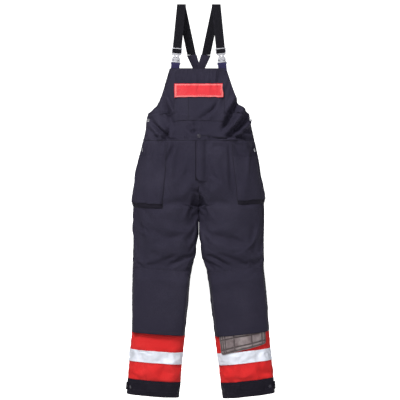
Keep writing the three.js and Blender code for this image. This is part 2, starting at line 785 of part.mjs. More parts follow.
function addBuckle(run, name, runLength) {
  const frameFoot = -buckleDrop - adjusterHeight;
  const neckFoot = frameFoot - neckHeight;
  const slotHeight = (adjusterHeight - 3 * barHeight) / 2;
  const window = (braceWidth + 1) / 2;
  const frame = rectangle(-buckleWidth / 2, frameFoot, buckleWidth / 2, -buckleDrop);
  const slotTops = [-buckleDrop - barHeight, -buckleDrop - 2 * barHeight - slotHeight];
  for (const slotTop of slotTops) {
    frame.holes.push(rectangle(-window, slotTop - slotHeight, window, slotTop));
  }
  const neck = block(neckWidth, buckleThickness, neckHeight + 2, 0, 0, neckFoot + neckHeight / 2 + 1);
  const prongs = [-1, 1].map((way) => {
    const x = (way * prongSpacing) / 2;
    return block(prongWidth, buckleThickness, prongLength + 1, x, 0, neckFoot - prongLength / 2 + 0.5);
  });
  const plug = combine(plate(frame, buckleThickness), [neck, ...prongs]);
  addPiece(name + "_buckle_plug", plug, "buckle", run);

  const barMiddle = slotTops[1] + barHeight / 2;
  const inner = [buckleThickness / 2 + fit, barHeight / 2 + fit];
  const outer = inner.map((value) => value + loopWall);
  const loop = outlineOf([
    [outer[0], barMiddle - outer[1]],
    [outer[0], barMiddle + braceTail],
    [inner[0], barMiddle + braceTail],
    [inner[0], barMiddle + outer[1]],
    [-outer[0], barMiddle + outer[1]],
    [-outer[0], barMiddle - outer[1]],
  ]);
  loop.holes.push(rectangle(-inner[0], barMiddle - inner[1], inner[0], barMiddle + inner[1]));
  addPiece(name + "_brace_end", ribbon(loop, braceWidth), "webbing", run);
  addSocket(run, name, neckFoot, runLength);
}

function addSocket(run, name, neckFoot, runLength) {
  const socketTop = neckFoot - fit;
  const channelDepth = prongLength + prongRoom;
  const shellHeight = channelDepth + socketFloor;
  const shellFoot = socketTop - shellHeight;
  const shell = block(socketWidth, socketThickness, shellHeight, 0, 0, shellFoot + shellHeight / 2);
  const skirtHeight = tabSlot + tabBarHeight;
  const skirtMiddle = shellFoot - skirtHeight / 2 + 0.5;
  const skirt = block(socketWidth, tabBarThickness, skirtHeight + 1, 0, 0, skirtMiddle);
  const channelWidth = prongSpacing + prongWidth + 2 * fit;
  const channelMiddle = socketTop - channelDepth / 2;
  const gap = buckleThickness + 2 * fit;
  const channel = block(channelWidth, gap, channelDepth, 0, 0, channelMiddle);
  const mouth = block(channelWidth, gap, 2, 0, 0, socketTop);
  const windows = block(socketWidth + 2, gap, windowHeight, 0, 0, channelMiddle);
  const slotMiddle = shellFoot - tabSlot / 2;
  const slot = block(tabWidth + 1, tabBarThickness + 1, tabSlot, 0, 0, slotMiddle);
  const socket = combine(shell, [skirt], [channel, mouth, windows, slot]);
  addPiece(name + "_buckle_socket", socket, "buckle", run);

  const barTop = shellFoot - tabSlot;
  const inner = tabBarThickness / 2 + fit;
  const outer = inner + loopWall;
  const foot = -runLength + tabStand;
  const join = barTop - tabBarHeight - fit - loopWall;
  const tab = outlineOf([
    [outer, barTop + fit + loopWall],
    [-outer, barTop + fit + loopWall],
    [-outer, join],
    [-cloth / 2, foot],
    [cloth / 2, foot],
    [outer, join],
  ]);
  tab.holes.push(rectangle(-inner, barTop - tabBarHeight - fit, inner, barTop + fit));
  addPiece(name + "_brace_tab", ribbon(tab, tabWidth), "navy", run);
}

addBib();
addHookStrips(addChestPocket());
addFly();
addWaistButton();
addYoke();
for (const { side, half, name } of halves) {
  addLeg(side, name);
  addThighPocket(side, name);
  addKneePocket(side, name);
  addKneePad(side, name, side > 0 ? kneePadSlip : 0);
  addHemTab(half, name);
  addSideButtons(half, name);
  addBrace(half, name);
}

export default garment;
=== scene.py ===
import json
import math

import bmesh
import bpy
import numpy as np
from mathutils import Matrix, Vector


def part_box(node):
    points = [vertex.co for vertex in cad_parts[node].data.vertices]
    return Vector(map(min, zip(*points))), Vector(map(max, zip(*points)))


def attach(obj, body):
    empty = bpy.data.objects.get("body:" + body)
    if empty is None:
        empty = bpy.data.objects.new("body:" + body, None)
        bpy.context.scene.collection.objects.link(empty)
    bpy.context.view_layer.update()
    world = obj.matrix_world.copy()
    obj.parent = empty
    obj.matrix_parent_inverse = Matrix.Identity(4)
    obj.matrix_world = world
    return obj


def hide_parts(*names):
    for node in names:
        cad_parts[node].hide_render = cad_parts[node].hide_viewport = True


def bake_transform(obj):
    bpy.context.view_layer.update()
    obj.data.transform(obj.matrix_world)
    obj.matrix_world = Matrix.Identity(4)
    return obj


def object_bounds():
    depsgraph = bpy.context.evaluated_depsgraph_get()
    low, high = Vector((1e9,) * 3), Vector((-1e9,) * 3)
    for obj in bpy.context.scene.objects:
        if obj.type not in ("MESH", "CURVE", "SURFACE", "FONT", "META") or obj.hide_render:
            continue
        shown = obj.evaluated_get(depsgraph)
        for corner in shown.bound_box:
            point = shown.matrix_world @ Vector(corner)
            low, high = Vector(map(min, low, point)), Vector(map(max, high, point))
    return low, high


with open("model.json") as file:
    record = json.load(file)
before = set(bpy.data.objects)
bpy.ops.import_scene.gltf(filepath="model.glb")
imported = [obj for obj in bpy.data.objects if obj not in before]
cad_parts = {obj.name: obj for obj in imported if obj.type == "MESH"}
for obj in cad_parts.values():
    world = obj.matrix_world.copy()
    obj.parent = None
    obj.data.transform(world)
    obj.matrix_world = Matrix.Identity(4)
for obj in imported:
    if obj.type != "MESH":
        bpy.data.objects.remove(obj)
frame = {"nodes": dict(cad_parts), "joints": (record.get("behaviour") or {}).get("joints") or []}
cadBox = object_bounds()
mm = 0.001

# a number that runs through a material's nodes
class Wire:
    def __init__(self, paint, socket):
        self.paint = paint
        self.socket = socket

    def maths(self, operation, other=None, flip=False):
        values = [self, other] if other is not None else [self]
        if flip:
            values.reverse()
        inputs = dict(enumerate(values))
        return self.paint.node("ShaderNodeMath", {"operation": operation}, inputs)

    def __add__(self, other):
        return self.maths("ADD", other)

    def __sub__(self, other):
        return self.maths("SUBTRACT", other)

    def __mul__(self, other):
        return self.maths("MULTIPLY", other)

    def __truediv__(self, other):
        return self.maths("DIVIDE", other)

    def __rsub__(self, other):
        return self.maths("SUBTRACT", other, flip=True)

    __radd__ = __add__
    __rmul__ = __mul__

    def sine(self):
        return self.maths("SINE")

    def power(self, other):
        return self.maths("POWER", other)

    def above(self, other):
        return self.maths("GREATER_THAN", other)

    def size(self):
        return self.maths("ABSOLUTE")


class Paint:
    def __init__(self, name):
        self.material = bpy.data.materials.new(name)
        self.material.use_nodes = True
        self.tree = self.material.node_tree
        self.tree.nodes.clear()
        self.shader = self.tree.nodes.new("ShaderNodeBsdfPrincipled")
        output = self.tree.nodes.new("ShaderNodeOutputMaterial")
        self.tree.links.new(self.shader.outputs[0], output.inputs["Surface"])

    def put(self, socket, value):
        if isinstance(value, Wire):
            self.tree.links.new(value.socket, socket)
        else:
            socket.default_value = value

    def node(self, kind, settings=None, inputs=None, output=0):
        made = self.tree.nodes.new(kind)
        for key, value in (settings or {}).items():
            if key == "stops":
                for stop, (place, colour) in zip(made.color_ramp.elements, value):
                    stop.position = place
                    stop.color = colour
            else:
                setattr(made, key, value)
        for key, value in (inputs or {}).items():
            self.put(made.inputs[key], value)
        return Wire(self, made.outputs[output])

    def where(self):
        return self.node("ShaderNodeTexCoord", output="Object")

    # the piece's own width and length, in metres
    def across(self):
        flat = self.node("ShaderNodeUVMap", {"uv_map": "cloth"})
        parts = self.node("ShaderNodeSeparateXYZ", inputs={0: flat})
        return parts, Wire(self, parts.socket.node.outputs[1])

    def edge(self):
        return self.node("ShaderNodeAttribute", {"attribute_name": "edge"}, output="Fac")

    def noise(self, scale, detail=2.0, vector=None):
        inputs = {"Vector": vector or self.where(), "Scale": scale, "Detail": detail}
        return self.node("ShaderNodeTexNoise", inputs=inputs)

    def mixed(self, factor, a, b):
        return self.node("ShaderNodeMix", {"data_type": "RGBA"}, {0: factor, 6: a, 7: b}, 2)

    def bump(self, height, depth, strength=1.0):
        inputs = {"Height": height, "Distance": depth, "Strength": strength}
        normal = self.node("ShaderNodeBump", inputs=inputs)
        self.put(self.shader.inputs["Normal"], normal)

    def set(self, **values):
        for key, value in values.items():
            self.put(self.shader.inputs[key.replace("_", " ")], value)


def linear(red, green, blue):
    def one(value):
        value /= 255
        return value / 12.92 if value <= 0.04045 else ((value + 0.055) / 1.055) ** 2.4

    return (one(red), one(green), one(blue), 1.0)


# colours in everyday 0-255 values, and the twill's pitch in metres
clothLook = {
    "navy": (40, 37, 52),
    "navyWorn": (72, 69, 85),
    "darkNavy": (20, 17, 28),
    "darkWorn": (40, 38, 47),
    "red": (222, 41, 42),
    "redWorn": (240, 84, 82),
    "flap": (214, 54, 62),
    "flapWorn": (246, 160, 158),
    "indigo": (44, 40, 74),
    "indigoWorn": (78, 72, 120),
    "twillPitch": 1.1 * mm,
}


def clothPaint(name, colour, worn, pitch=clothLook["twillPitch"], depth=0.16 * mm, edgeWearAndShade=0.05):
    paint = Paint(name)
    u, v = paint.across()
    turn = 2 * math.pi / pitch
    twill = ((u + v * 0.7) * turn).sine() * 0.5 + ((u * -0.55 + v) * (turn * 1.9)).sine() * 0.22
    broad = paint.noise(7.0, 3.0)
    fine = paint.noise(260.0, 2.0)
    wear = paint.edge() * edgeWearAndShade + (broad - 0.45) * 0.55 + (fine - 0.5) * 0.35 + twill * 0.06
    tone = paint.mixed(wear.maths("MAXIMUM", 0.0), linear(*colour), linear(*worn))
    paint.set(Base_Color=tone, Roughness=0.86 - broad * 0.12)
    paint.set(Specular_IOR_Level=0.14)
    paint.bump(twill + fine * 0.8 + broad * 2.0, depth)
    return paint.material


def webbingPaint(name, colour, worn, ribs=2.1 * mm):
    paint = Paint(name)
    u, v = paint.across()
    rib = (u * (2 * math.pi / ribs)).sine()
    pick = (v * (2 * math.pi / (1.3 * mm))).sine()
    fine = paint.noise(400.0, 1.0)
    tone = paint.mixed(rib * 0.18 + fine * 0.35 + paint.edge() * 0.25, linear(*colour), linear(*worn))
    paint.set(Base_Color=tone, Roughness=0.85 - fine * 0.1, Specular_IOR_Level=0.15)
    paint.bump(rib + pick * 0.45, 0.25 * mm)
    return paint.material


def tapePaint(name):
    paint = Paint(name)
    u, v = paint.across()
    turn = 2 * math.pi / (3.2 * mm)
    net = ((u + v) * turn).sine().size().power(0.3) * ((u - v) * turn).sine().size().power(0.3)
    soil = paint.noise(22.0, 4.0)
    tone = paint.mixed((soil - 0.42) * 1.6 + (1 - net) * 0.12, linear(229, 233, 243), linear(176, 180, 192))
    paint.set(Base_Color=tone, Roughness=0.42 + soil * 0.15, Metallic=0.12 + net * 0.05)
    paint.bump(net + soil * 1.5, 0.12 * mm)
    return paint.material


def padPaint(name):
    paint = Paint(name)
    coarse = paint.noise(38.0, 4.0)
    fine = paint.noise(900.0, 2.0)
    scuff = (coarse - 0.38) * 1.6
    tone = paint.mixed(scuff.maths("MAXIMUM", 0.0), linear(104, 90, 92), linear(178, 166, 166))
    # painted shade: where the edge attribute marks the pad's grooves, the colour is darkened towards dark brown
    tone = paint.mixed(paint.edge() * 0.75, tone, linear(46, 36, 39))
    paint.set(Base_Color=tone, Roughness=0.62 + fine * 0.2)
    paint.bump(fine + coarse * 0.6, 0.12 * mm)
    return paint.material


def mouldedPaint(name, colour, worn):
    paint = Paint(name)
    grain = paint.noise(1400.0, 2.0)
    cloud = paint.noise(90.0, 3.0)
    tone = paint.mixed((cloud - 0.4) * 0.9, linear(*colour), linear(*worn))
    paint.set(Base_Color=tone, Roughness=0.36 + grain * 0.15, Metallic=0.25 + cloud * 0.1)
    paint.bump(grain, 0.05 * mm)
    return paint.material


def metalPaint(name, colour=(176, 176, 180), worn=(120, 120, 126)):
    paint = Paint(name)
    brushed = paint.noise(1800.0, 2.0)
    cloud = paint.noise(160.0, 3.0)
    tone = paint.mixed((cloud - 0.35) * 1.2, linear(*colour), linear(*worn))
    paint.set(Base_Color=tone, Roughness=0.25 + brushed * 0.2, Metallic=0.95 - cloud * 0.1)
    paint.bump(brushed, 0.03 * mm)
    return paint.material


def threadPaint(name, colour, worn):
    paint = Paint(name)
    fine = paint.noise(700.0, 2.0)
    tone = paint.mixed(fine, linear(*colour), linear(*worn))
    paint.set(Base_Color=tone, Roughness=0.75 + fine * 0.15, Specular_IOR_Level=0.2)
    paint.bump(fine, 0.1 * mm)
    return paint.material


look = {
    "navy": clothPaint("navyTwill", clothLook["navy"], clothLook["navyWorn"]),
    "fuzz": threadPaint("hookAndLoop", (26, 25, 32), (46, 44, 54)),
    # painted shade: a near-black colour for the cords drawn along the seams
    "seamShadow": threadPaint("seamShade", (22, 20, 28), (38, 36, 46)),
    # dark navy cloth for the cuff, hem tabs and zip tape, and as painted shade on the thigh pockets' bellows
    "dark": clothPaint("darkNavyFacingAndShade", clothLook["darkNavy"], clothLook["darkWorn"]),
    "red": clothPaint("redTwill", clothLook["red"], clothLook["redWorn"]),
    "flap": clothPaint("redFlap", clothLook["flap"], clothLook["flapWorn"], edgeWearAndShade=0.6),
    "indigo": clothPaint("indigoTab", clothLook["indigo"], clothLook["indigoWorn"], 1.6 * mm),
    "webbing": webbingPaint("elasticWebbing", (11, 10, 16), (32, 30, 40)),
    "tape": tapePaint("reflectiveTape"),
    "pad": padPaint("mouldedPad"),
    "buckle": mouldedPaint("greyMoulding", (150, 150, 156), (188, 188, 194)),
    "metal": metalPaint("satinMetal"),
    "navyThread": threadPaint("navyThread", (34, 31, 43), (56, 53, 67)),
    "redThread": threadPaint("paleRedThread", (240, 170, 168), (250, 206, 204)),
    "darkMetal": metalPaint("gunMetal", (52, 50, 58), (30, 29, 34)),
}
print("materials made")

def makePiece(name, points, faces, finish, body, uvs=None, edge=None, smooth=True, stands=()):
    mesh = bpy.data.meshes.new(name)
    mesh.from_pydata([tuple(p) for p in points], [], faces)
    if uvs is not None:
        layer = mesh.uv_layers.new(name="cloth")
        corner = np.empty(len(mesh.loops), dtype=np.int32)
        mesh.loops.foreach_get("vertex_index", corner)
        layer.data.foreach_set("uv", np.asarray(uvs, dtype=np.float32)[corner].ravel())
    if edge is not None:
        attribute = mesh.attributes.new("edge", "FLOAT", "POINT")
        attribute.data.foreach_set("value", np.asarray(edge, dtype=np.float32))
    mesh.polygons.foreach_set("use_smooth", [smooth] * len(mesh.polygons))
    mesh.validate()
    mesh.update()
    piece = bpy.data.objects.new(name, mesh)
    bpy.context.scene.collection.objects.link(piece)
    return finishPiece(piece, finish, body, stands)


def finishPiece(piece, finish, body, stands=()):
    piece.data.materials.clear()
    piece.data.materials.append(look[finish])
    # a piece that crosses a joint is given its two bodies and two points as a tuple; such a piece is only baked in
    # place, not attached to a body
    if isinstance(body, tuple):
        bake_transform(piece)
    else:
        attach(piece, body)
    if stands:
        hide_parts(*stands)
    return piece


def slabFaces(rows, columns, ring):
    spans = columns if ring else columns - 1
    row = np.arange(rows - 1)[:, None]
    column = np.arange(spans)[None, :]
    after = (column + 1) % columns
    total = rows * columns

    def at(layer, r, c):
        return layer * total + r * columns + c

    outer = np.stack(
        [at(0, row, column), at(0, row + 1, column), at(0, row + 1, after), at(0, row, after)], -1
    )
    inner = np.stack(
        [at(1, row, column), at(1, row, after), at(1, row + 1, after), at(1, row + 1, column)], -1
    )
    faces = [outer.reshape(-1, 4), inner.reshape(-1, 4)]
    c, a = column[0], after[0]
    last = rows - 1
    faces.append(np.stack([at(0, 0, c), at(0, 0, a), at(1, 0, a), at(1, 0, c)], -1))
    faces.append(np.stack([at(0, last, a), at(0, last, c), at(1, last, c), at(1, last, a)], -1))
    if not ring:
        r = row[:, 0]
        end = columns - 1
        faces.append(np.stack([at(0, r + 1, 0), at(0, r, 0), at(1, r, 0), at(1, r + 1, 0)], -1))
        faces.append(np.stack([at(0, r, end), at(0, r + 1, end), at(1, r + 1, end), at(1, r, end)], -1))
    return np.concatenate(faces)


# a sheet between two grids of points, with its edges closed
def slabPiece(name, outer, inner, finish, body, ring=False, stands=(), flatSize=None, fade=7 * mm):
    rows, columns = outer.shape[:2]
    faces = slabFaces(rows, columns, ring)
    points = np.concatenate([outer.reshape(-1, 3), inner.reshape(-1, 3)])
    a, b, c = points[faces[:, 0]], points[faces[:, 1]], points[faces[:, 2]]
    if np.sum(np.einsum("ij,ij->i", a, np.cross(b, c))) < 0:
        faces = faces[:, ::-1]
    alongU = np.zeros((rows, columns))
    alongU[:, 1:] = np.cumsum(np.linalg.norm(np.diff(outer, axis=1), axis=2), axis=1)
    alongV = np.zeros((rows, columns))
    alongV[1:] = np.cumsum(np.linalg.norm(np.diff(outer, axis=0), axis=2), axis=0)
    middle = alongV[:, columns // 2][:, None] + 0 * alongU
    uv = np.stack([alongU, middle], -1).reshape(-1, 2)
    rim = np.minimum(alongV, alongV[-1:] - alongV)
    if not ring:
        rim = np.minimum(rim, np.minimum(alongU, alongU[:, -1:] - alongU))
    edge = np.exp(-rim / fade).reshape(-1)
    uvs, edges = np.concatenate([uv, uv]), np.concatenate([edge, edge * 0.3])
    piece = makePiece(name, points, faces.tolist(), finish, body, uvs, edges, True, stands)
    return piece


def bilinear(grid, row, column):
    rows, columns = grid.shape[:2]
    r = np.clip(np.floor(row).astype(int), 0, rows - 2)
    c = np.clip(np.floor(column).astype(int), 0, columns - 2)
    down = (row - r)[..., None]
    over = (column - c)[..., None]
    top = grid[r, c] * (1 - over) + grid[r, c + 1] * over
    bottom = grid[r + 1, c] * (1 - over) + grid[r + 1, c + 1] * over
    return top * (1 - down) + bottom * down


def ease(value, start, end):
    share = np.clip((value - start) / (end - start), 0, 1)
    return share * share * (3 - 2 * share)


lowBib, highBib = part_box("bib_front")
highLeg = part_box("left_front_leg")[1]
shape = {
    "bibTop": highBib[2],
    "waist": (lowBib[2] + highLeg[2]) / 2,
    "underarm": 0.189,
    "rise": 0.270,
    "insideLeg": 0.807,
    "kneeDrop": 0.272,
    "fork": 0.090,
    "squareness": 2.4,
    "cloth": 1.5 * mm,
    "upperRed": 0.070,
    "silver": 0.050,
    "lowerRed": 0.076,
}
hemDrop = shape["rise"] + shape["insideLeg"]
kneeSeam = shape["rise"] + shape["kneeDrop"]
bandTop = hemDrop - 0.261
silverTop = bandTop + shape["upperRed"]
silverFoot = silverTop + shape["silver"]
cuffTop = silverFoot + shape["lowerRed"]
bibHeight = shape["bibTop"] - shape["waist"]

# drop below the waist seam, centre, half width, half depth and tilt in degrees of each leg's ovals
legForm = {
    "left": [
        (0, 0.1180, 0.1180, 0.094, 0),
        (0.075, 0.1265, 0.1265, 0.098, 0),
        (0.181, 0.1335, 0.1335, 0.103, 0),
        (0.270, 0.1370, 0.1395, 0.083, 0),
        (0.365, 0.1370, 0.1410, 0.080, 1.0),
        (0.440, 0.1430, 0.1330, 0.074, 4.0),
        (0.542, 0.1545, 0.1205, 0.065, 6.0),
        (0.700, 0.1730, 0.1180, 0.061, 6.3),
        (0.818, 0.1830, 0.1145, 0.058, 6.3),
        (1.077, 0.2120, 0.1105, 0.052, 6.3),
    ],
    "right": [
        (0, 0.1178, 0.1178, 0.094, 0),
        (0.075, 0.1275, 0.1275, 0.098, 0),
        (0.125, 0.1350, 0.1350, 0.101, 0),
        (0.181, 0.1350, 0.1350, 0.103, 0),
        (0.270, 0.1375, 0.1400, 0.083, 0),
        (0.365, 0.1370, 0.1410, 0.080, 0.8),
        (0.440, 0.1440, 0.1340, 0.074, 3.0),
        (0.542, 0.1555, 0.1245, 0.065, 4.0),
        (0.700, 0.1650, 0.1180, 0.061, 4.2),
        (0.818, 0.1715, 0.1130, 0.058, 4.2),
        (1.077, 0.1950, 0.1115, 0.052, 4.2),
    ],
}


def bulge(value):
    return np.sign(value) * np.abs(value) ** (2 / shape["squareness"])


def smoothTable(rows, step=5 * mm, window=8):
    table = np.array(rows, dtype=float)
    drops = np.arange(0, table[-1, 0] + step / 2, step)
    columns = []
    for column in range(1, table.shape[1]):
        line = np.interp(drops, table[:, 0], table[:, column])
        before = 2 * line[0] - line[window:0:-1]
        after = 2 * line[-1] - line[-2 : -window - 2 : -1]
        padded = np.concatenate([before, line, after])
        kernel = np.hanning(2 * window + 1)
        columns.append(np.convolve(padded, kernel / kernel.sum(), "valid"))
    return drops, np.array(columns)


legTables = {side: smoothTable(rows) for side, rows in legForm.items()}


def legOval(side, turn, drop):
    drops, columns = legTables[side]
    centre, half, depth, tilt = (np.interp(drop, drops, column) for column in columns)
    share = np.where(turn <= 1, turn, 2 - turn)
    face = np.where(turn <= 1, -1.0, 1.0)
    into = np.clip((drop - shape["rise"] + shape["fork"]) / shape["fork"], 0, 1)
    fork = 1 - np.sqrt(1 - into * into)
    hipX = (centre + half) * bulge(np.sin(share * math.pi / 2))
    hipY = depth * bulge(np.cos(share * math.pi / 2))
    legX = centre - half * bulge(np.cos(share * math.pi))
    legY = depth * bulge(np.sin(share * math.pi))
    out = hipX * (1 - fork) + legX * fork - centre
    lean = np.radians(tilt)
    x = 0.4 * mm + centre + out * np.cos(lean)
    y = face * (hipY * (1 - fork) + legY * fork)
    z = shape["waist"] - drop + out * np.sin(lean)
    sign = 1 if side == "left" else -1
    return np.stack([x * sign, y, z], -1)


# Creases: start x, z, end x, z, half width and height, all in metres. Valleys are negative.
foldDepth = 1.9
frontCreases = [
    (0.176, -0.410, 0.096, -0.526, 0.013, -14.0 * mm),
    (0.190, -0.444, 0.126, -0.522, 0.011, 7.0 * mm),
    (0.008, -0.561, 0.140, -0.568, 0.005, -3.0 * mm),
    (0.012, -0.573, 0.110, -0.570, 0.005, -2.4 * mm),
    (-0.200, -0.566, -0.100, -0.572, 0.006, -2.6 * mm),
    (-0.060, -0.540, -0.044, -0.575, 0.006, -3.5 * mm),
    (0.040, -0.600, 0.120, -0.612, 0.007, -3.0 * mm),
    (-0.036, -0.700, -0.070, -0.742, 0.008, -2.5 * mm),
    (0.044, -0.716, 0.090, -0.748, 0.008, -2.5 * mm),
    (0.212, -0.462, 0.118, -0.572, 0.013, -9.0 * mm),
    (0.218, -0.492, 0.146, -0.566, 0.010, 5.0 * mm),
    (0.074, -0.424, 0.010, -0.492, 0.009, -5.0 * mm),
    (-0.044, -0.512, -0.006, -0.574, 0.008, -6.0 * mm),
    (-0.036, -0.535, -0.012, -0.520, 0.006, 4.0 * mm),
    (0.020, -0.548, -0.020, -0.540, 0.006, -3.5 * mm),
    (0.120, -0.548, 0.235, -0.582, 0.010, -6.0 * mm),
    (0.118, -0.566, 0.225, -0.600, 0.009, 4.5 * mm),
    (0.150, -0.520, 0.228, -0.545, 0.008, -4.0 * mm),
    (0.078, -0.412, 0.006, -0.525, 0.006, -3.0 * mm),
    (0.066, -0.430, 0.020, -0.500, 0.008, 2.0 * mm),
    (-0.014, -0.498, -0.022, -0.568, 0.009, -6.0 * mm),
    (-0.030, -0.505, -0.004, -0.560, 0.007, 3.5 * mm),
    (0.006, -0.505, 0.004, -0.560, 0.008, 3.5 * mm),
    (-0.150, -0.418, -0.104, -0.512, 0.011, -7.5 * mm),
    (-0.176, -0.430, -0.120, -0.520, 0.011, -5.0 * mm),
    (-0.128, -0.404, -0.098, -0.470, 0.010, 4.0 * mm),
    (-0.212, -0.480, -0.128, -0.566, 0.010, -6.5 * mm),
    (-0.205, -0.490, -0.125, -0.536, 0.009, 4.5 * mm),
    (-0.118, -0.518, -0.152, -0.592, 0.009, -6.5 * mm),
    (-0.140, -0.520, -0.170, -0.590, 0.009, 4.0 * mm),
    (-0.210, -0.530, -0.160, -0.600, 0.009, -3.5 * mm),
    (-0.100, -0.598, -0.134, -0.662, 0.007, -4.5 * mm),
    (-0.118, -0.600, -0.146, -0.655, 0.009, 3.0 * mm),
    (-0.006, -0.604, 0.060, -0.588, 0.006, -3.5 * mm),
    (0.000, -0.640, 0.062, -0.618, 0.007, -2.5 * mm),
    (0.006, -0.690, 0.028, -0.668, 0.006, -3.0 * mm),
    (-0.028, -0.765, 0.024, -0.752, 0.006, -3.5 * mm),
    (-0.034, -0.790, 0.018, -0.806, 0.006, -3.0 * mm),
    (-0.040, -0.880, -0.008, -0.785, 0.009, -5.0 * mm),
    (-0.060, -0.905, -0.026, -0.800, 0.010, 3.5 * mm),
    (0.034, -0.880, 0.000, -0.785, 0.009, -5.0 * mm),
    (0.056, -0.905, 0.020, -0.800, 0.010, 3.5 * mm),
    (-0.070, -0.830, -0.190, -0.862, 0.014, -2.5 * mm),
    (0.070, -0.835, 0.180, -0.872, 0.014, -2.5 * mm),
    (-0.050, -0.960, -0.200, -1.010, 0.018, -2.5 * mm),
    (0.050, -0.955, 0.210, -1.020, 0.018, -2.5 * mm),
    (-0.120, -0.900, -0.160, -1.100, 0.020, 2.5 * mm),
    (0.110, -0.900, 0.130, -1.090, 0.020, 2.5 * mm),
    (-0.240, -0.900, -0.250, -1.110, 0.014, -2.5 * mm),
    (0.235, -0.900, 0.238, -1.110, 0.014, -2.5 * mm),
    (-0.060, -1.060, -0.130, -1.115, 0.010, -3.0 * mm),
    (0.060, -1.060, 0.140, -1.118, 0.010, -3.0 * mm),
    (-0.250, -1.140, -0.160, -1.185, 0.011, -3.0 * mm),
    (0.250, -1.135, 0.170, -1.180, 0.011, -3.0 * mm),
    (-0.105, -1.420, -0.130, -1.640, 0.016, 2.0 * mm),
    (-0.235, -1.420, -0.250, -1.640, 0.016, -2.0 * mm),
    (0.140, -1.480, 0.170, -1.660, 0.015, 2.2 * mm),
    (0.250, -1.440, 0.285, -1.650, 0.016, -2.2 * mm),
    (-0.100, -0.300, -0.060, -0.345, 0.012, -2.5 * mm),
    (0.100, -0.295, 0.070, -0.340, 0.012, -2.5 * mm),
]
backCreases = [
    (-0.170, -0.480, -0.060, -0.560, 0.012, -6.0 * mm),
    (0.170, -0.480, 0.060, -0.565, 0.012, -6.0 * mm),
    (-0.120, -0.420, -0.050, -0.520, 0.012, 4.0 * mm),
    (0.110, -0.415, 0.045, -0.520, 0.012, 4.0 * mm),
    (-0.030, -0.380, -0.020, -0.520, 0.014, -3.5 * mm),
    (0.030, -0.390, 0.022, -0.510, 0.014, -3.0 * mm),
    (-0.200, -0.640, -0.080, -0.700, 0.014, -4.0 * mm),
    (0.200, -0.635, 0.090, -0.700, 0.014, -4.0 * mm),
    (-0.110, -0.780, -0.010, -0.850, 0.014, -6.0 * mm),
    (0.110, -0.780, 0.010, -0.850, 0.014, -6.0 * mm),
    (-0.200, -0.860, -0.040, -0.910, 0.014, -5.0 * mm),
    (0.200, -0.865, 0.040, -0.915, 0.014, -5.0 * mm),
    (-0.220, -0.960, -0.070, -0.990, 0.016, 4.0 * mm),
    (0.220, -0.950, 0.075, -0.990, 0.016, 4.0 * mm),
    (-0.260, -1.090, -0.110, -1.150, 0.012, -6.0 * mm),
    (-0.070, -1.110, -0.230, -1.175, 0.012, -5.0 * mm),
    (0.260, -1.090, 0.110, -1.150, 0.012, -6.0 * mm),
    (0.080, -1.110, 0.240, -1.175, 0.012, -5.0 * mm),
    (-0.240, -1.210, -0.120, -1.240, 0.013, -4.0 * mm),
    (0.250, -1.205, 0.130, -1.245, 0.013, -4.0 * mm),
    (-0.150, -1.400, -0.160, -1.640, 0.018, 3.0 * mm),
    (0.170, -1.400, 0.190, -1.640, 0.018, 3.0 * mm),
]


def creaseHeight(x, z, creases):
    height = np.zeros_like(x)
    for x0, z0, x1, z1, width, amount in creases:
        run = np.array([x1 - x0, z1 - z0])
        length = np.hypot(*run)
        along = ((x - x0) * run[0] + (z - z0) * run[1]) / length**2
        bend = 0.18 * width * np.sin(along * 5.0 + x0 * 90)
        away = ((x - x0) * run[1] - (z - z0) * run[0]) / length + bend
        taper = np.exp(-(((along - 0.5) / 0.46) ** 4))
        lip = np.exp(-((away / width) ** 2)) - 0.35 * np.exp(-(((np.abs(away) - 1.9 * width) / width) ** 2))
        height += amount * lip * taper
    return height * foldDepth


# a slow, even unevenness made of a few crossing waves
def ripple(x, y, z, scale, seed):
    rng = np.random.default_rng(seed)
    total = np.zeros_like(x)
    for _ in range(9):
        way = rng.normal(size=3) * scale * np.array([1.0, 0.8, 0.75])
        total += np.sin(x * way[0] + y * way[1] + z * way[2] + rng.uniform(0, 2 * math.pi))
    return total / 4.5


def calmness(grid):
    # how freely the cloth may wrinkle: little over the fly, the waist button and the knee pads
    x, y, z = grid[..., 0], grid[..., 1], grid[..., 2]
    drop = shape["waist"] - z
    front = ease(-y, 0.0, 0.02)
    overFly = ease(0.050 - np.abs(x), 0, 0.018) * ease(0.190 - drop, 0, 0.02) * ease(drop, -0.045, -0.028)
    overPad = ease(drop, kneeSeam - 0.01, kneeSeam + 0.05) * ease(bandTop + 0.075 - drop, 0, 0.03)
    return 1 - front * np.maximum(0.92 * overFly, 0.96 * overPad)


def creased(grid, away):
    x, y, z = grid[..., 0], grid[..., 1], grid[..., 2]
    front = ease(-y, 0.0, 0.03)
    back = ease(y, 0.0, 0.03)
    height = front * creaseHeight(x, z, frontCreases) + back * creaseHeight(x, z, backCreases)
    height += 1.3 * mm * ripple(x, y, z, 26.0, 3) + 0.55 * mm * ripple(x, y, z, 75.0, 5)
    return grid + away * (height * calmness(grid))[..., None]


def gridNormals(grid):
    across = np.gradient(grid, axis=1)
    down = np.gradient(grid, axis=0)
    normal = np.cross(across, down)
    normal /= np.maximum(np.linalg.norm(normal, axis=2, keepdims=True), 1e-12)
    return normal


# legs as grids of points
legTurns = np.linspace(0, 2, 113)
legDrops = np.linspace(0, hemDrop, 176)


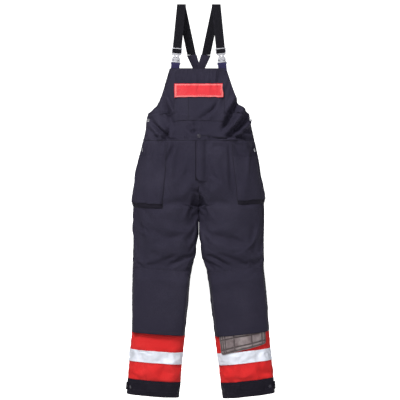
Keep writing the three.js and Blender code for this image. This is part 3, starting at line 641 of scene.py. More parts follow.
def legGrid(side):
    turn, drop = np.meshgrid(legTurns, legDrops)
    grid = legOval(side, turn, drop)
    normal = gridNormals(grid)
    outward = grid - grid.mean(axis=1, keepdims=True)
    if np.sum(normal * outward) < 0:
        normal = -normal
    inner = np.sign(grid[..., 0:1])
    edge = (turn < 0.02) | (turn > 1.98)
    split = edge & (drop > shape["rise"])
    normal[split] = np.array([1.0, 0, 0]) * -inner[split]
    grid = creased(grid, normal)
    # the two halves meet on the middle plane above the crotch
    sign = 1 if side == "left" else -1
    grid[..., 0] = sign * np.maximum(grid[..., 0] * sign, 0.4 * mm)
    grid[:, 0][drop[:, 0] > shape["rise"]] = grid[:, -1][drop[:, 0] > shape["rise"]]
    return grid


# cloth that is slightly too big for its pinned edges, so it buckles as worn cloth does
def simulate(grids):
    made = []
    for name, grid, pins in grids:
        rows, columns = grid.shape[:2]
        faces = slabFaces(rows, columns, False)[: (rows - 1) * (columns - 1)]
        mesh = bpy.data.meshes.new(name)
        mesh.from_pydata([tuple(p) for p in grid.reshape(-1, 3)], [], faces.tolist())
        piece = bpy.data.objects.new(name, mesh)
        bpy.context.scene.collection.objects.link(piece)
        group = piece.vertex_groups.new(name="pinned")
        for level in np.unique(np.round(pins, 2)):
            chosen = np.nonzero(np.round(pins.ravel(), 2) == level)[0]
            group.add(chosen.tolist(), float(level), "REPLACE")
        modifier = piece.modifiers.new("cloth", "CLOTH")
        settings = modifier.settings
        settings.quality = 6
        settings.mass = 0.25
        settings.tension_stiffness = 18
        settings.compression_stiffness = 18
        settings.shear_stiffness = 6
        settings.bending_stiffness = clothRun["bending"]
        settings.shrink_min = -clothRun["spare"]
        settings.vertex_group_mass = "pinned"
        settings.pin_stiffness = 1.0
        settings.effector_weights.gravity = 0.25
        modifier.collision_settings.use_collision = False
        modifier.point_cache.frame_start = 1
        modifier.point_cache.frame_end = clothRun["frames"]
        made.append((piece, grid))
    for step in range(1, clothRun["frames"] + 1):
        bpy.context.scene.frame_set(step)
    results = []
    graph = bpy.context.evaluated_depsgraph_get()
    for piece, grid in made:
        worked = piece.evaluated_get(graph).data
        points = np.empty(len(worked.vertices) * 3)
        worked.vertices.foreach_get("co", points)
        move = points.reshape(grid.shape) - grid
        far = np.linalg.norm(move, axis=2, keepdims=True)
        move *= np.minimum(1, clothRun["most"] / np.maximum(far, 1e-9))
        results.append(grid + move * calmness(grid)[..., None])
        mesh = piece.data
        bpy.data.objects.remove(piece)
        bpy.data.meshes.remove(mesh)
    bpy.context.scene.frame_set(1)
    return results


clothRun = {"frames": 14, "spare": 0.035, "bending": 1.2, "most": 9 * mm}

# bib front and back as grids of points
bibForm = [(0, 0.190, 0.060), (shape["underarm"], 0.2135, 0.080), (bibHeight, 0.2355, 0.094)]
bibShift = -0.0035  # the top edge sits a little to the wearer's right


def bibOval(drop):
    table = np.array(bibForm)
    return np.interp(drop, table[:, 0], table[:, 1]), np.interp(drop, table[:, 0], table[:, 2])


def bibHalf(drop, face):
    share = np.clip(drop / shape["underarm"], 0, 1)
    if face < 0:
        curve = 0.62 * share + 0.38 * share**7
        width = 0.119 + (0.2135 - 0.119) * curve
    else:
        share = np.clip((drop - backTop) / (shape["underarm"] - backTop), 0, 1)
        width = 0.030 + (0.2135 - 0.030) * (0.5 * share + 0.5 * share**3)
    return np.where(drop >= shape["underarm"], bibOval(drop)[0], width)


def bibAngle(x, drop):
    reach = np.clip(np.abs(x) / bibOval(drop)[0], 0, 1)
    return np.sign(x) * (2 / math.pi) * np.arcsin(reach ** (shape["squareness"] / 2))


def bibBase(angle, drop, face):
    wide, depth = bibOval(drop)
    x = wide * bulge(np.sin(angle * math.pi / 2))
    y = face * depth * bulge(np.cos(angle * math.pi / 2))
    shift = bibShift * (1 - ease(drop, 0.0, 0.2))
    return np.stack([x + shift, y, shape["bibTop"] - drop + 0 * x], -1)


backTop = 0.023
bibShares = np.linspace(-1, 1, 101)
frontDrops = np.linspace(0, bibHeight, 56)
backDrops = np.linspace(backTop, bibHeight, 52)


def bibGrid(face):
    drops = frontDrops if face < 0 else backDrops
    share, drop = np.meshgrid(bibShares, drops)
    angle = share * bibAngle(bibHalf(drop, face), drop)
    grid = bibBase(angle, drop, face)
    normal = gridNormals(grid)
    if np.sum(normal[..., 1]) * face < 0:
        normal = -normal
    return creased(grid, normal)


grids = {"left": legGrid("left"), "right": legGrid("right"), "front": bibGrid(-1), "back": bibGrid(1)}


def pinsFor(name, grid):
    rows, columns = grid.shape[:2]
    row = np.arange(rows)[:, None] + np.zeros((1, columns))
    column = np.arange(columns)[None, :] + np.zeros((rows, 1))
    pins = np.zeros((rows, columns))
    border = np.minimum(row, rows - 1 - row)
    sides = np.minimum(column, columns - 1 - column)
    pins = np.maximum(pins, np.where(border < 1, 1.0, 0.0))
    pins = np.maximum(pins, np.where(sides < 1, 1.0, 0.0))
    if name in ("left", "right"):
        side = np.abs(column - (columns - 1) / 2)
        pins = np.maximum(pins, np.where(side < 1, 0.9, 0.0))
        for drop in (kneeSeam, bandTop, silverTop, silverFoot, cuffTop):
            near = np.abs(legDrops[:, None] - drop) < 4 * mm
            pins = np.maximum(pins, np.where(near, 0.75, 0.0))
    return pins


names = list(grids)
worked = simulate([(name, grids[name], pinsFor(name, grids[name])) for name in names])
grids = dict(zip(names, worked))
# the two legs press together from the crotch down to where they part
for side, sign in (("left", 1), ("right", -1)):
    across = np.abs(grids[side][..., 0])
    drop = shape["waist"] - grids[side][..., 2]
    near = ease(0.345 - drop, 0, 0.03)
    closer = (across + 0.4 * mm) * ease(across, 9 * mm, 26 * mm) - 0.4 * mm
    grids[side][..., 0] = sign * (across + (np.minimum(closer, across) - across) * near)
normals = {}
for name, grid in grids.items():
    normal = gridNormals(grid)
    middle = np.array([0.0, 0.0, 0.0]) if name in ("front", "back") else grid.mean(axis=1, keepdims=True)
    outward = (grid - middle) * np.array([1.0, 1.0, 0.0])
    normals[name] = normal if np.sum(normal * outward) > 0 else -normal
print("garment surface made")


def matched(*values):
    return np.broadcast_arrays(*[np.asarray(value, float) for value in values])


def onLeg(side, turn, drop, lift=0.0):
    turn, drop, lift = matched(turn, drop, lift)
    column = np.clip(turn / 2, 0, 1) * (len(legTurns) - 1)
    row = np.clip(drop / hemDrop, 0, 1) * (len(legDrops) - 1)
    point = bilinear(grids[side], row, column)
    away = bilinear(normals[side], row, column)
    return point + away * lift[..., None], away


def onBib(face, x, drop, lift=0.0):
    x, drop, lift = matched(x, drop, lift)
    name, drops = ("front", frontDrops) if face < 0 else ("back", backDrops)
    shift = bibShift * (1 - ease(drop, 0.0, 0.2))
    share = bibAngle(x - shift, drop) / bibAngle(bibHalf(drop, face), drop)
    column = (np.clip(share, -1, 1) + 1) / 2 * (len(bibShares) - 1)
    row = (drop - drops[0]) / (drops[-1] - drops[0]) * (len(drops) - 1)
    row = np.clip(row, 0, len(drops) - 1)
    point = bilinear(grids[name], row, column)
    away = bilinear(normals[name], row, column)
    return point + away * lift[..., None], away


# the turn at which a leg's front or back crosses x
def legTurnAt(side, x, drop, face=-1):
    turns = np.linspace(0, 1, 400)
    line = legOval(side, turns, np.full_like(turns, drop))[:, 0]
    turn = float(np.interp(abs(x), np.abs(line), turns))
    return turn if face < 0 else 2 - turn


# a sewn-on piece that follows the leg. lift is a number or a function of turn and drop.
def legPiece(name, side, turns, drops, lift, thick, finish, stands=(), size=(40, 40),
             ring=False, body="garment", **more):
    across = np.linspace(turns[0], turns[1], size[0], endpoint=not ring)
    turn, drop = np.meshgrid(across, np.linspace(drops[0], drops[1], size[1]))
    height = lift(turn, drop) if callable(lift) else np.full_like(turn, lift)
    outer = onLeg(side, turn % 2 if ring else turn, drop, height + thick)[0]
    inner = onLeg(side, turn % 2 if ring else turn, drop, height)[0]
    return slabPiece(name, outer, inner, finish, body, ring, stands, **more)


def bibPiece(name, face, xs, drops, lift, thick, finish, stands=(), size=(40, 30),
             body="garment", **more):
    x, drop = np.meshgrid(np.linspace(xs[0], xs[1], size[0]), np.linspace(drops[0], drops[1], size[1]))
    height = lift(x, drop) if callable(lift) else np.full_like(x, lift)
    outer = onBib(face, x, drop, height + thick)[0]
    inner = onBib(face, x, drop, height)[0]
    return slabPiece(name, outer, inner, finish, body, False, stands, **more)


# each ankle band: its name, its node, its top and foot, how far out it lies, its thickness and its look
ankleBands = (
    ("RedBand", "_red_band", (bandTop - 2 * mm, cuffTop), -1.2 * mm, shape["cloth"], "red"),
    ("HemCuff", "_hem_cuff", (cuffTop - 1 * mm, hemDrop), -0.6 * mm, shape["cloth"], "dark"),
    ("SilverTape", "_silver_tape", (silverTop, silverFoot), 1.2 * mm, 0.5 * mm, "tape"),
)


def addShells():
    thick = shape["cloth"]
    bandRow = int(round(bandTop / hemDrop * (len(legDrops) - 1)))
    middle = (len(legTurns) - 1) // 2
    for side in ("left", "right"):
        grid, normal = grids[side], normals[side]
        for part, columns in (("front", slice(0, middle + 1)), ("back", slice(middle, None))):
            outer = grid[: bandRow + 1, columns]
            inner = outer - normal[: bandRow + 1, columns] * thick
            stands = (side + "_" + part + "_leg",)
            slabPiece(side + part.title() + "Leg", outer, inner, "navy", "garment", stands=stands)
        for name, stand, drops, lift, deep, finish in ankleBands:
            stands = (side + stand,)
            legPiece(side + name, side, (0, 2), drops, lift, deep, finish, stands, size=(112, 30), ring=True)
    for part in ("front", "back"):
        outer = grids[part]
        inner = outer - normals[part] * thick
        name, stands = "bib" + part.title(), ("bib_" + part,)
        piece = slabPiece(name, outer, inner, "navy", "garment", stands=stands, flatSize=False)
        # a bib panel is cut to a shape, so its area is less than its width times its height
        across, down = np.diff(outer, axis=1), np.diff(outer, axis=0)


addShells()
print("shells made")

thighPocket = {
    "top": 0.060,
    "foot": {"left": 0.260, "right": 0.274},
    "edge": {
        "left": [(0.010, 0.141), (0.138, 0.157), (0.190, 0.163), (0.262, 0.166)],
        "right": [(0.010, 0.131), (0.120, 0.143), (0.180, 0.150), (0.276, 0.156)],
    },
    "backTurn": 1.24,
    "fullness": 8.0 * mm,
    "gusset": 17 * mm,
}


def pocketEdgeTurn(side, drop):
    table = np.array(thighPocket["edge"][side])
    flat = np.atleast_1d(drop)
    steps = np.linspace(flat.min(), flat.max() + 1e-6, 24)
    turns = [legTurnAt(side, np.interp(step, table[:, 0], table[:, 1]), step) for step in steps]
    return np.interp(drop, steps, turns)


def thighPocketLift(side, turn, drop):
    start = pocketEdgeTurn(side, drop)
    share = (turn - start) / (thighPocket["backTurn"] - start)
    sides = ease(share, 0.0, 0.035) * ease(1 - share, 0.0, 0.05)
    fall = 0.10 + 0.90 * ease(drop, 0.13, thighPocket["foot"][side] - 0.03)
    return 0.5 * mm + thighPocket["fullness"] * sides * fall


def addThighPocket(side):
    thick = 1.3 * mm
    foot = thighPocket["foot"][side]
    lip = foot - thighPocket["gusset"]
    share, drop = np.meshgrid(np.linspace(0, 1, 72), np.linspace(thighPocket["top"], lip, 60))
    start = pocketEdgeTurn(side, drop)
    turn = start + (thighPocket["backTurn"] - start) * share
    lift = thighPocketLift(side, turn, drop)
    outer = onLeg(side, turn, drop, lift + thick)[0]
    inner = onLeg(side, turn, drop, lift)[0]
    name = side + "ThighPocket"
    slabPiece(name, outer, inner, "navy", "garment", stands=(side + "_thigh_pocket",))
    # the bellows under the pocket's foot, folded back to the leg, made in the dark navy cloth as painted shade
    # under the pocket
    share, down = np.meshgrid(np.linspace(0, 1, 72), np.linspace(0, 1, 12))
    drop = lip - 2 * mm + (foot - lip + 3 * mm) * down
    start = pocketEdgeTurn(side, drop)
    turn = start + (thighPocket["backTurn"] - start) * share
    sides = ease(share, 0.0, 0.035) * ease(1 - share, 0.0, 0.05)
    top = thighPocket["fullness"] * sides - 0.1 * mm
    lift = 0.4 * mm + np.maximum(top - 0.4 * mm, 0) * (1 - down) ** 0.6
    outer = onLeg(side, turn, drop, lift + 0.6 * mm)[0]
    inner = onLeg(side, turn, drop, lift - 0.4 * mm)[0]
    slabPiece(side + "PocketBellows", outer, inner, "dark", "garment")


kneePocket = {"turns": (0.10, 0.90), "foot": bandTop - 3 * mm, "fullness": 15.5 * mm}


def kneePocketLift(turn, drop):
    low, high = kneePocket["turns"]
    sides = ease(turn, low, low + 0.13) * ease(high - turn, 0, 0.13)
    fall = ease(drop, kneeSeam, kneeSeam + 0.05)
    place = turn * 0.36
    swell = 1 + 0.14 * ripple(place, drop * 0.6, drop, 24.0, 11) + 0.05 * ripple(place, drop, drop, 70.0, 12)
    return 0.5 * mm + kneePocket["fullness"] * sides * fall * swell


def addKneePocket(side):
    drops = (kneeSeam, kneePocket["foot"])
    stands = (side + "_knee_pocket",)
    name = side + "KneePocket"
    turns = kneePocket["turns"]
    legPiece(name, side, turns, drops, kneePocketLift, 1.4 * mm, "navy", stands, (72, 72))


kneePad = {
    "width": 0.190,
    "height": 0.225,
    "slip": 0.078,
    "slant": 0.16,
    "inner": 3.2 * mm,
    "web": 2.8 * mm,
    "rib": 4.0 * mm,
    "uprights": (0.035, 0.085, 0.135, 0.34, 0.66, 0.90, 0.975),
    "rails": (0.03, 0.20, 0.38, 0.56, 0.74, 0.915, 0.975),
    "groove": 0.014,
}


def padGrooves(share, places, size):
    cut = np.zeros_like(share)
    for place in places:
        cut = np.maximum(cut, np.exp(-(((share - place) / size) ** 4)))
    return cut


def addKneePad(side):
    sign = 1 if side == "left" else -1
    across, down = np.meshgrid(np.linspace(0, 1, 110), np.linspace(0, 1, 120))
    foot = bandTop - 0.014
    middle = foot - kneePad["height"] / 2
    reach = (across - 0.5) * kneePad["width"]
    # rounded corners: the rows near the ends are drawn in a little
    ends = np.minimum(down, 1 - down) * kneePad["height"]
    corner = 0.014
    draw = np.where(ends < corner, corner - np.sqrt(np.maximum(corner**2 - (corner - ends) ** 2, 0)), 0)
    reach *= (kneePad["width"] - 2 * draw) / kneePad["width"]
    turn = np.arccos(np.clip(-reach / 0.121, -1, 1)) / math.pi
    turn = np.clip(turn, 0.05, 0.95)
    drop = middle + (down - 0.5) * kneePad["height"]
    if side == "left":
        drop -= kneePad["slant"] * reach * down
    smoothBase = legOval(side, turn, drop)
    smoothAway = gridNormals(smoothBase)
    if np.sum(smoothAway[..., 1]) > 0:
        smoothAway = -smoothAway
    grooves = np.maximum(
        padGrooves(across, kneePad["uprights"], kneePad["groove"]),
        padGrooves(down, kneePad["rails"], kneePad["groove"]),
    )
    rim = np.minimum(np.minimum(across, 1 - across) * kneePad["width"], ends)
    edge = ease(rim, 0, 5 * mm)
    height = kneePad["web"] * (0.45 + 0.55 * edge) + kneePad["rib"] * (1 - grooves) * edge
    outer = smoothBase + smoothAway * (kneePad["inner"] + height)[..., None]
    inner = smoothBase + smoothAway * kneePad["inner"]
    if side == "left":
        lean = math.radians(5.2)
        slide = np.array([sign * math.sin(lean), 0, -math.cos(lean)]) * kneePad["slip"]
        outer = outer + slide
        inner = inner + slide
    name, stands = side + "KneePad", (side + "_knee_pad",)
    pad = slabPiece(name, outer, inner, "pad", side + "_pad", stands=stands, flatSize=False)
    # painted shade: the grooves between the pad's ribs are darkened in the colour, carried in the edge attribute
    paintedGrooveShade = np.concatenate([(grooves * edge).ravel(), np.zeros(grooves.size)])
    pad.data.attributes["edge"].data.foreach_set("value", paintedGrooveShade.astype(np.float32))


for side in ("left", "right"):
    addThighPocket(side)
    addKneePocket(side)
    addKneePad(side)
print("pockets and pads made")

chest = {
    "left": -0.1010,
    "right": 0.1060,
    "pocketTop": 0.066,
    "pocketFoot": 0.217,
    "fullness": 3.6 * mm,
    "flapTop": 0.0625,
    "flapFoot": 0.1195,
    "flapEdges": (-0.1000, 0.1000),
}


def chestPocketLift(x, drop):
    share = (x - chest["left"]) / (chest["right"] - chest["left"])
    sides = ease(share, 0.0, 0.08) * ease(1 - share, 0.0, 0.08)
    foot = ease(chest["pocketFoot"] - drop, 0, 0.03)
    return 0.4 * mm + chest["fullness"] * sides * foot * (0.4 + 0.6 * ease(drop, 0.06, 0.12))


def flapLift(x, drop):
    share = ease(drop, chest["flapTop"], chest["flapTop"] + 0.03)
    wave = 0.5 * mm * np.sin(x * 41 + 0.6) * share
    return 4.6 * mm + 3.4 * mm * share + wave


def addChest():
    stands = ("chest_pocket",)
    xs = (chest["left"], chest["right"])
    drops = (chest["pocketTop"], chest["pocketFoot"])
    bibPiece("chestPocket", -1, xs, drops, chestPocketLift, 1.2 * mm, "navy", stands, (64, 48))
    stripDrops = (chest["flapFoot"] - 0.024, chest["flapFoot"] - 0.004)
    strip = {"size": (40, 10), "flatSize": False}

    def over(x, drop):
        return chestPocketLift(x, drop) + 1.3 * mm


    def under(x, drop):
        return flapLift(x, drop) - 0.9 * mm

    loops = bibPiece("chestLoopStrip", -1, (-0.053, 0.053), stripDrops, over, 0.8 * mm, "fuzz",
                     ("chest_pocket_loop_strip",), **strip)
    hooks = bibPiece("flapHookStrip", -1, (-0.053, 0.053), stripDrops, under, 0.8 * mm, "fuzz",
                     ("chest_flap_hook_strip",), body="chest_flap", **strip)
    flap = bibPiece("chestFlap", -1, chest["flapEdges"], (chest["flapTop"], chest["flapFoot"]), flapLift,
                    1.8 * mm, "flap", ("chest_flap",), (88, 28), body="chest_flap")
    # a paler line where the edge is turned in and sewn, and painted shade along the flap's outer rim
    points = np.empty(len(flap.data.vertices) * 3)
    flap.data.vertices.foreach_get("co", points)
    points = points.reshape(-1, 3)
    low, high = points.min(axis=0), points.max(axis=0)
    rim = np.minimum(points[:, 0] - low[0], high[0] - points[:, 0])
    rim = np.minimum(rim, np.minimum(points[:, 2] - low[2], high[2] - points[:, 2]))
    # the negative rim term darkens the flap's outer edges as painted shade
    line = np.exp(-(((rim - 5.2 * mm) / (1.9 * mm)) ** 2)) * 1.1 - np.exp(-rim / (1.6 * mm)) * 0.5
    flap.data.attributes["edge"].data.foreach_set("value", line.astype(np.float32))


addChest()

waistParts = {
    "elasticDrops": (bibHeight - 0.045, bibHeight - 0.002),
    "elasticReach": 0.198,
    "gather": 9.5 * mm,
}


def addWaist():
    def gathers(x, drop):
        middle = np.sin((drop - waistParts["elasticDrops"][0]) / 0.043 * math.pi)
        fold = np.sin(x / waistParts["gather"] * 2 * math.pi + 1.6 * np.sin(x * 37))
        rows = 0.5 * mm * np.cos(drop / 0.0108 * 2 * math.pi)
        return 1.4 * mm + 1.3 * mm * fold * (0.35 + 0.65 * middle) + rows

    reach = waistParts["elasticReach"]
    bibPiece("backWaistElastic", 1, (-reach, reach), waistParts["elasticDrops"], gathers, 1.6 * mm, "navy",
             ("back_waist_elastic",), (220, 24), flatSize=(0.50, 0.043))
    # the tab of cloth sewn over the waist seam on the wearer's right
    def raised(x, drop):
        return 1.0 * mm + 0 * x

    patch, drops = (-0.104, -0.060), (bibHeight - 0.024, bibHeight - 0.002)
    bibPiece("waistPatch", -1, patch, drops, raised, 1.4 * mm, "navy", (), (20, 12))


addWaist()

fly = {
    "origin": np.array([0.0, -0.0950, shape["waist"] - 0.5 * mm]),
    "down": None,
    "zip": 0.166,
    "placketFree": -0.0125,
    "placketSewn": 0.034,
    "placket": 0.1685,
    "cut": 0.30,
    "cutLength": 0.030,
}
zipJoint = next(joint for joint in frame["joints"] if joint["name"] == "zip_slide")
fly["down"] = np.array(zipJoint["axis"], dtype=float)
fly["out"] = np.array([0.0, fly["down"][2], -fly["down"][1]])


def onFly(x, down, out):
    x, down, out = matched(x, down, out)
    side = np.array([1.0, 0.0, 0.0])
    return fly["origin"] + side * x[..., None] + fly["down"] * down[..., None] + fly["out"] * out[..., None]


def placketOut(x, down):
    hump = ease(x, fly["placketFree"] - 1 * mm, -5.5 * mm) * ease(-x, -0.030, -5.5 * mm)
    end = ease(fly["placket"] - down, 0, 0.008)
    sewn = ease(fly["placketSewn"] - x, 0, 0.016)
    # the sewn edge follows the trousers, which fall away behind the fly's flat plane
    sink = (1.5 + 1.2 * down / fly["placket"]) * (1 - sewn)
    return ((0.2 + 2.0 * sewn + 7.8 * hump) * (0.8 + 0.2 * end) - sink) * mm


# how far the free edge has moved in at a point down the placket, as its foot is cut round
def placketCut(down):
    share = np.clip((down - (fly["placket"] - fly["cutLength"])) / fly["cutLength"], 0, 1)
    return (fly["placketSewn"] - fly["placketFree"]) * fly["cut"] * share ** 2.4


def addFly():
    x, down = np.meshgrid(np.linspace(-0.015, 0.015, 14), np.linspace(0.002, fly["zip"], 60))
    tapeOut = 0.2 * mm + 0 * x
    slabPiece("zipTape", onFly(x, down, tapeOut + 0.6 * mm), onFly(x, down, tapeOut), "dark", "garment",
              stands=("zip_chain",))
    free, sewn = fly["placketFree"], fly["placketSewn"]
    # the free edge is cut round at its foot, as the fly's stitching is
    x, down = np.meshgrid(np.linspace(0, 1, 40), np.linspace(0, fly["placket"], 80))
    left = free + placketCut(down)
    x = left + (sewn - left) * x
    out = placketOut(x, down)
    start = tuple(onFly(sewn, fly["placket"] / 2, 0.0))
    end = tuple(onFly(sewn - 0.012, fly["placket"] / 2, 0.0))
    bodies = ("garment", "fly_placket", start, end)
    slabPiece("flyPlacket", onFly(x, down, out + 1.5 * mm), onFly(x, down, out), "navy", bodies,
              stands=("fly_placket",))


addFly()
print("chest, waist and fly made")


# turns a profile of (radius, height) about the line that leaves the cloth
def lathePiece(name, profile, point, away, finish, body, stands=(), turns=48):
    away = Vector([float(v) for v in away]).normalized()
    turn = away.to_track_quat("Z", "Y").to_matrix()
    points = []
    for radius, height in profile:
        for step in range(turns):
            angle = 2 * math.pi * step / turns
            local = Vector((radius * math.cos(angle), radius * math.sin(angle), height))
            points.append(Vector([float(v) for v in point]) + turn @ local)
    faces = []
    for row in range(len(profile) - 1):
        for step in range(turns):
            after = (step + 1) % turns
            a, b = row * turns + step, row * turns + after
            faces.append((a, b, b + turns, a + turns))
    faces.append(tuple(reversed(range(turns))))
    last = (len(profile) - 1) * turns
    faces.append(tuple(range(last, last + turns)))
    return makePiece(name, points, faces, finish, body, stands=stands)


button = {"radius": 8.5 * mm, "height": 4.0 * mm, "shank": 3.2 * mm}


def buttonProfile(radius, height, shank):
    rise = height * 0.42
    return [
        (shank * 1.3, 0.0),
        (shank, 0.3 * mm),
        (shank, rise),
        (radius * 0.90, rise),
        (radius * 0.99, rise + 0.25 * mm),
        (radius, rise + 0.7 * mm),
        (radius * 0.97, height - 0.45 * mm),
        (radius * 0.90, height - 0.1 * mm),
        (radius * 0.80, height - 0.2 * mm),
        (radius * 0.74, height - 0.6 * mm),
        (radius * 0.55, height - 0.75 * mm),
        (radius * 0.38, height - 0.55 * mm),
        (radius * 0.24, height - 0.15 * mm),
        (radius * 0.12, height),
        (0.05 * mm, height),
    ]


def addButtons():
    profile = buttonProfile(button["radius"], button["height"], button["shank"])
    point, away = onBib(-1, 0.0, 0.286, 0.3 * mm)
    lathePiece("waistButton", profile, point, away, "darkMetal", "garment", ("waist_button",))
    for side, sign in (("left", 1), ("right", -1)):
        low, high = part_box(side + "_side_button_upper")
        drop = shape["bibTop"] - (low[2] + high[2]) / 2
        x = sign * 0.97 * float(bibOval(drop)[0])
        point, away = onBib(-1, x, drop, 0.3 * mm)
        stands = (side + "_side_button_upper",)
        lathePiece(side + "UpperSideButton", profile, point, away, "metal", "garment", stands)
        low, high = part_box(side + "_side_button_lower")
        drop = shape["waist"] - (low[2] + high[2]) / 2
        point, away = onLeg(side, 0.90, drop, 0.3 * mm)
        stands = (side + "_side_button_lower",)
        lathePiece(side + "LowerSideButton", profile, point, away, "metal", "garment", stands)


addButtons()

hemTab = {"height": 0.030, "turns": (0.875, 1.125), "thick": 1.9 * mm, "stand": 4.3 * mm, "stud": 7 * mm}
studProfile = [
    (0.96, 0.0), (1.0, 0.12), (1.0, 0.6), (0.95, 0.9), (0.86, 1.0),
    (0.70, 0.98), (0.62, 0.75), (0.40, 0.7), (0.02, 0.85),
]


def addHemTab(side):
    middle = (cuffTop + hemDrop) / 2
    drops = (middle - hemTab["height"] / 2, middle + hemTab["height"] / 2)
    body = side + "_hem_tab"

    def lift(turn, drop):
        return 1.2 * mm + (hemTab["stand"] - 1.2 * mm) * ease(hemTab["turns"][1] - turn, 0, 0.05)

    sewn = hemTab["turns"][1]
    ends = [tuple(onLeg(side, turn, middle)[0]) for turn in (sewn, sewn - 0.035)]
    bodies = ("garment", body, *ends)
    name, turns, thick = side + "HemTab", hemTab["turns"], hemTab["thick"]
    legPiece(name, side, turns, drops, lift, thick, "dark", (body,), (40, 20), body=bodies)
    scaled = [(r * hemTab["stud"], h * 1.9 * mm) for r, h in studProfile]
    rear = 0.925
    point, away = onLeg(side, rear, middle, hemTab["stand"] + hemTab["thick"] + 0.1 * mm)
    lathePiece(side + "HemStud", scaled, point, away, "darkMetal", body, (side + "_hem_stud",))
    for place, turn in (("rear", rear), ("front", rear - 0.125)):
        point, away = onLeg(side, turn, middle, 1.0 * mm)
        name = side + "HemSocket" + place.title()
        lathePiece(name, scaled, point, away, "darkMetal", "garment", (side + "_hem_socket_" + place,))


for side in ("left", "right"):
    addHemTab(side)
print("buttons and hem tabs made")

braces = {
    "foldX": 0.074,
    "foldRadius": 5 * mm,
    "set": 5.6 * mm,
    "width": 38 * mm,
    "thick": 1.8 * mm,
    "yokeX": 0.031,
    "yokeDrop": 0.208,
    "neckDrop": 0.300,
    "yokeWaist": 0.043,
    "yokeFoot": 0.056,
    "yokeNotch": 0.242,
    "yokeLap": 0.028,
}


def backPlane(x, drop):
    lowYoke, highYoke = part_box("strap_yoke")
    slope = (highYoke[1] - 1.3 * mm - braces["foldRadius"]) / (-lowYoke[2] - braces["foldRadius"])
    y = braces["foldRadius"] + (drop - braces["foldRadius"]) * slope
    return np.array([x, y, -drop]), np.array([0, 1.0, slope]) / math.hypot(1, slope)


# the front run of a brace: its top, and its across, outward and downward ways
def runFrame(side):
    joint = next(j for j in frame["joints"] if j["name"] == side + "_buckle_release")
    up = np.array(joint["axis"], dtype=float)
    up /= np.linalg.norm(up)
    sign = 1 if side == "left" else -1
    across = np.array([1.0, 0, 0]) - up * up[0]
    across /= np.linalg.norm(across)
    back = np.cross(up, across)
    top = np.array([sign * braces["foldX"], -braces["foldRadius"] - braces["set"], -braces["foldRadius"]])
    return top, across, back, up


# evenly spaced stations (centre, across, away) between the given ones
def spreadPath(stations, step=4 * mm):
    rows = [np.concatenate([np.asarray(v, float) for v in station]) for station in stations]
    result = [rows[0]]
    for a, b in zip(rows, rows[1:]):
        count = max(1, int(np.linalg.norm(b[:3] - a[:3]) / step))
        for index in range(1, count + 1):
            result.append(a + (b - a) * index / count)
    return np.array(result)


def strapPiece(name, stations, width, thick, finish, body, stands=(), columns=13):
    path = spreadPath(stations)
    centre, across, away = path[:, :3], path[:, 3:6], path[:, 6:9]
    across = across / np.linalg.norm(across, axis=1, keepdims=True)
    away = away / np.linalg.norm(away, axis=1, keepdims=True)
    share = np.linspace(-0.5, 0.5, columns)
    half = thick / 2 * (1 - 0.55 * np.abs(share * 2) ** 10)
    spread = centre[:, None] + across[:, None] * (share * width)[None, :, None]
    outer = spread + away[:, None] * half[None, :, None]
    inner = spread - away[:, None] * half[None, :, None]
    return slabPiece(name, outer, inner, finish, body, stands=stands, flatSize=False, fade=2.5 * mm)


def addBrace(side):
    top, across, back, up = runFrame(side)
    sign = 1 if side == "left" else -1
    stations = []
    for drop in np.linspace(0.217, 0.0, 6):
        stations.append((top - up * drop + back * braces["set"], across, -back))
    for angle in range(165, 0, -15):
        y, z = math.cos(math.radians(angle)), math.sin(math.radians(angle))
        radius = braces["foldRadius"]
        stations.append(((sign * braces["foldX"], radius * y, radius * (z - 1)), (1, 0, 0), (0, y, z)))
    start, away = backPlane(sign * braces["foldX"], 0.010)
    end, _ = backPlane(sign * braces["yokeX"], braces["yokeDrop"] + 2 * mm)
    stations += [(start, (1, 0, 0), away), (end, (1, 0, 0), away)]
    width, thick, stands = braces["width"], braces["thick"], (side + "_brace",)
    strapPiece(side + "Brace", stations, width, thick, "webbing", "garment", stands)


# a flat moulding: its outline and holes, given a thickness and soft edges, then placed
def platePiece(name, loops, thick, bevel, place, finish, body, stands=(), extras=()):
    curve = bpy.data.curves.new(name, "CURVE")
    curve.dimensions = "2D"
    curve.fill_mode = "BOTH"
    curve.extrude = thick / 2 - bevel
    curve.bevel_depth = bevel
    curve.bevel_resolution = 2
    curve.offset = -bevel
    for loop in loops:
        spline = curve.splines.new("POLY")
        spline.points.add(len(loop) - 1)
        for point, (x, z) in zip(spline.points, loop):
            point.co = (x, z, 0, 1)
        spline.use_cyclic_u = True
    holder = bpy.data.objects.new(name + "Outline", curve)
    bpy.context.scene.collection.objects.link(holder)
    bpy.context.view_layer.update()
    mesh = bpy.data.meshes.new_from_object(holder.evaluated_get(bpy.context.evaluated_depsgraph_get()))
    bpy.data.objects.remove(holder)
    flat = np.empty(len(mesh.vertices) * 3)
    mesh.vertices.foreach_get("co", flat)
    flat = flat.reshape(-1, 3)
    placed = place(flat)
    faces = [tuple(face.vertices) for face in mesh.polygons]
    for points, more in extras:
        offset = len(placed)
        placed = np.concatenate([placed, points])
        flat = np.concatenate([flat, points])
        faces += [tuple(index + offset for index in face) for face in more]
    edge = np.zeros(len(flat))
    piece = makePiece(name, placed, faces, finish, body, uvs=flat[:, :2], edge=edge, stands=stands)
    tidyMesh(piece)
    return piece


def tidyMesh(piece):
    work = bmesh.new()
    work.from_mesh(piece.data)
    bmesh.ops.remove_doubles(work, verts=work.verts, dist=0.005 * mm)
    bmesh.ops.recalc_face_normals(work, faces=work.faces)
    work.to_mesh(piece.data)
    work.free()
    piece.data.update()


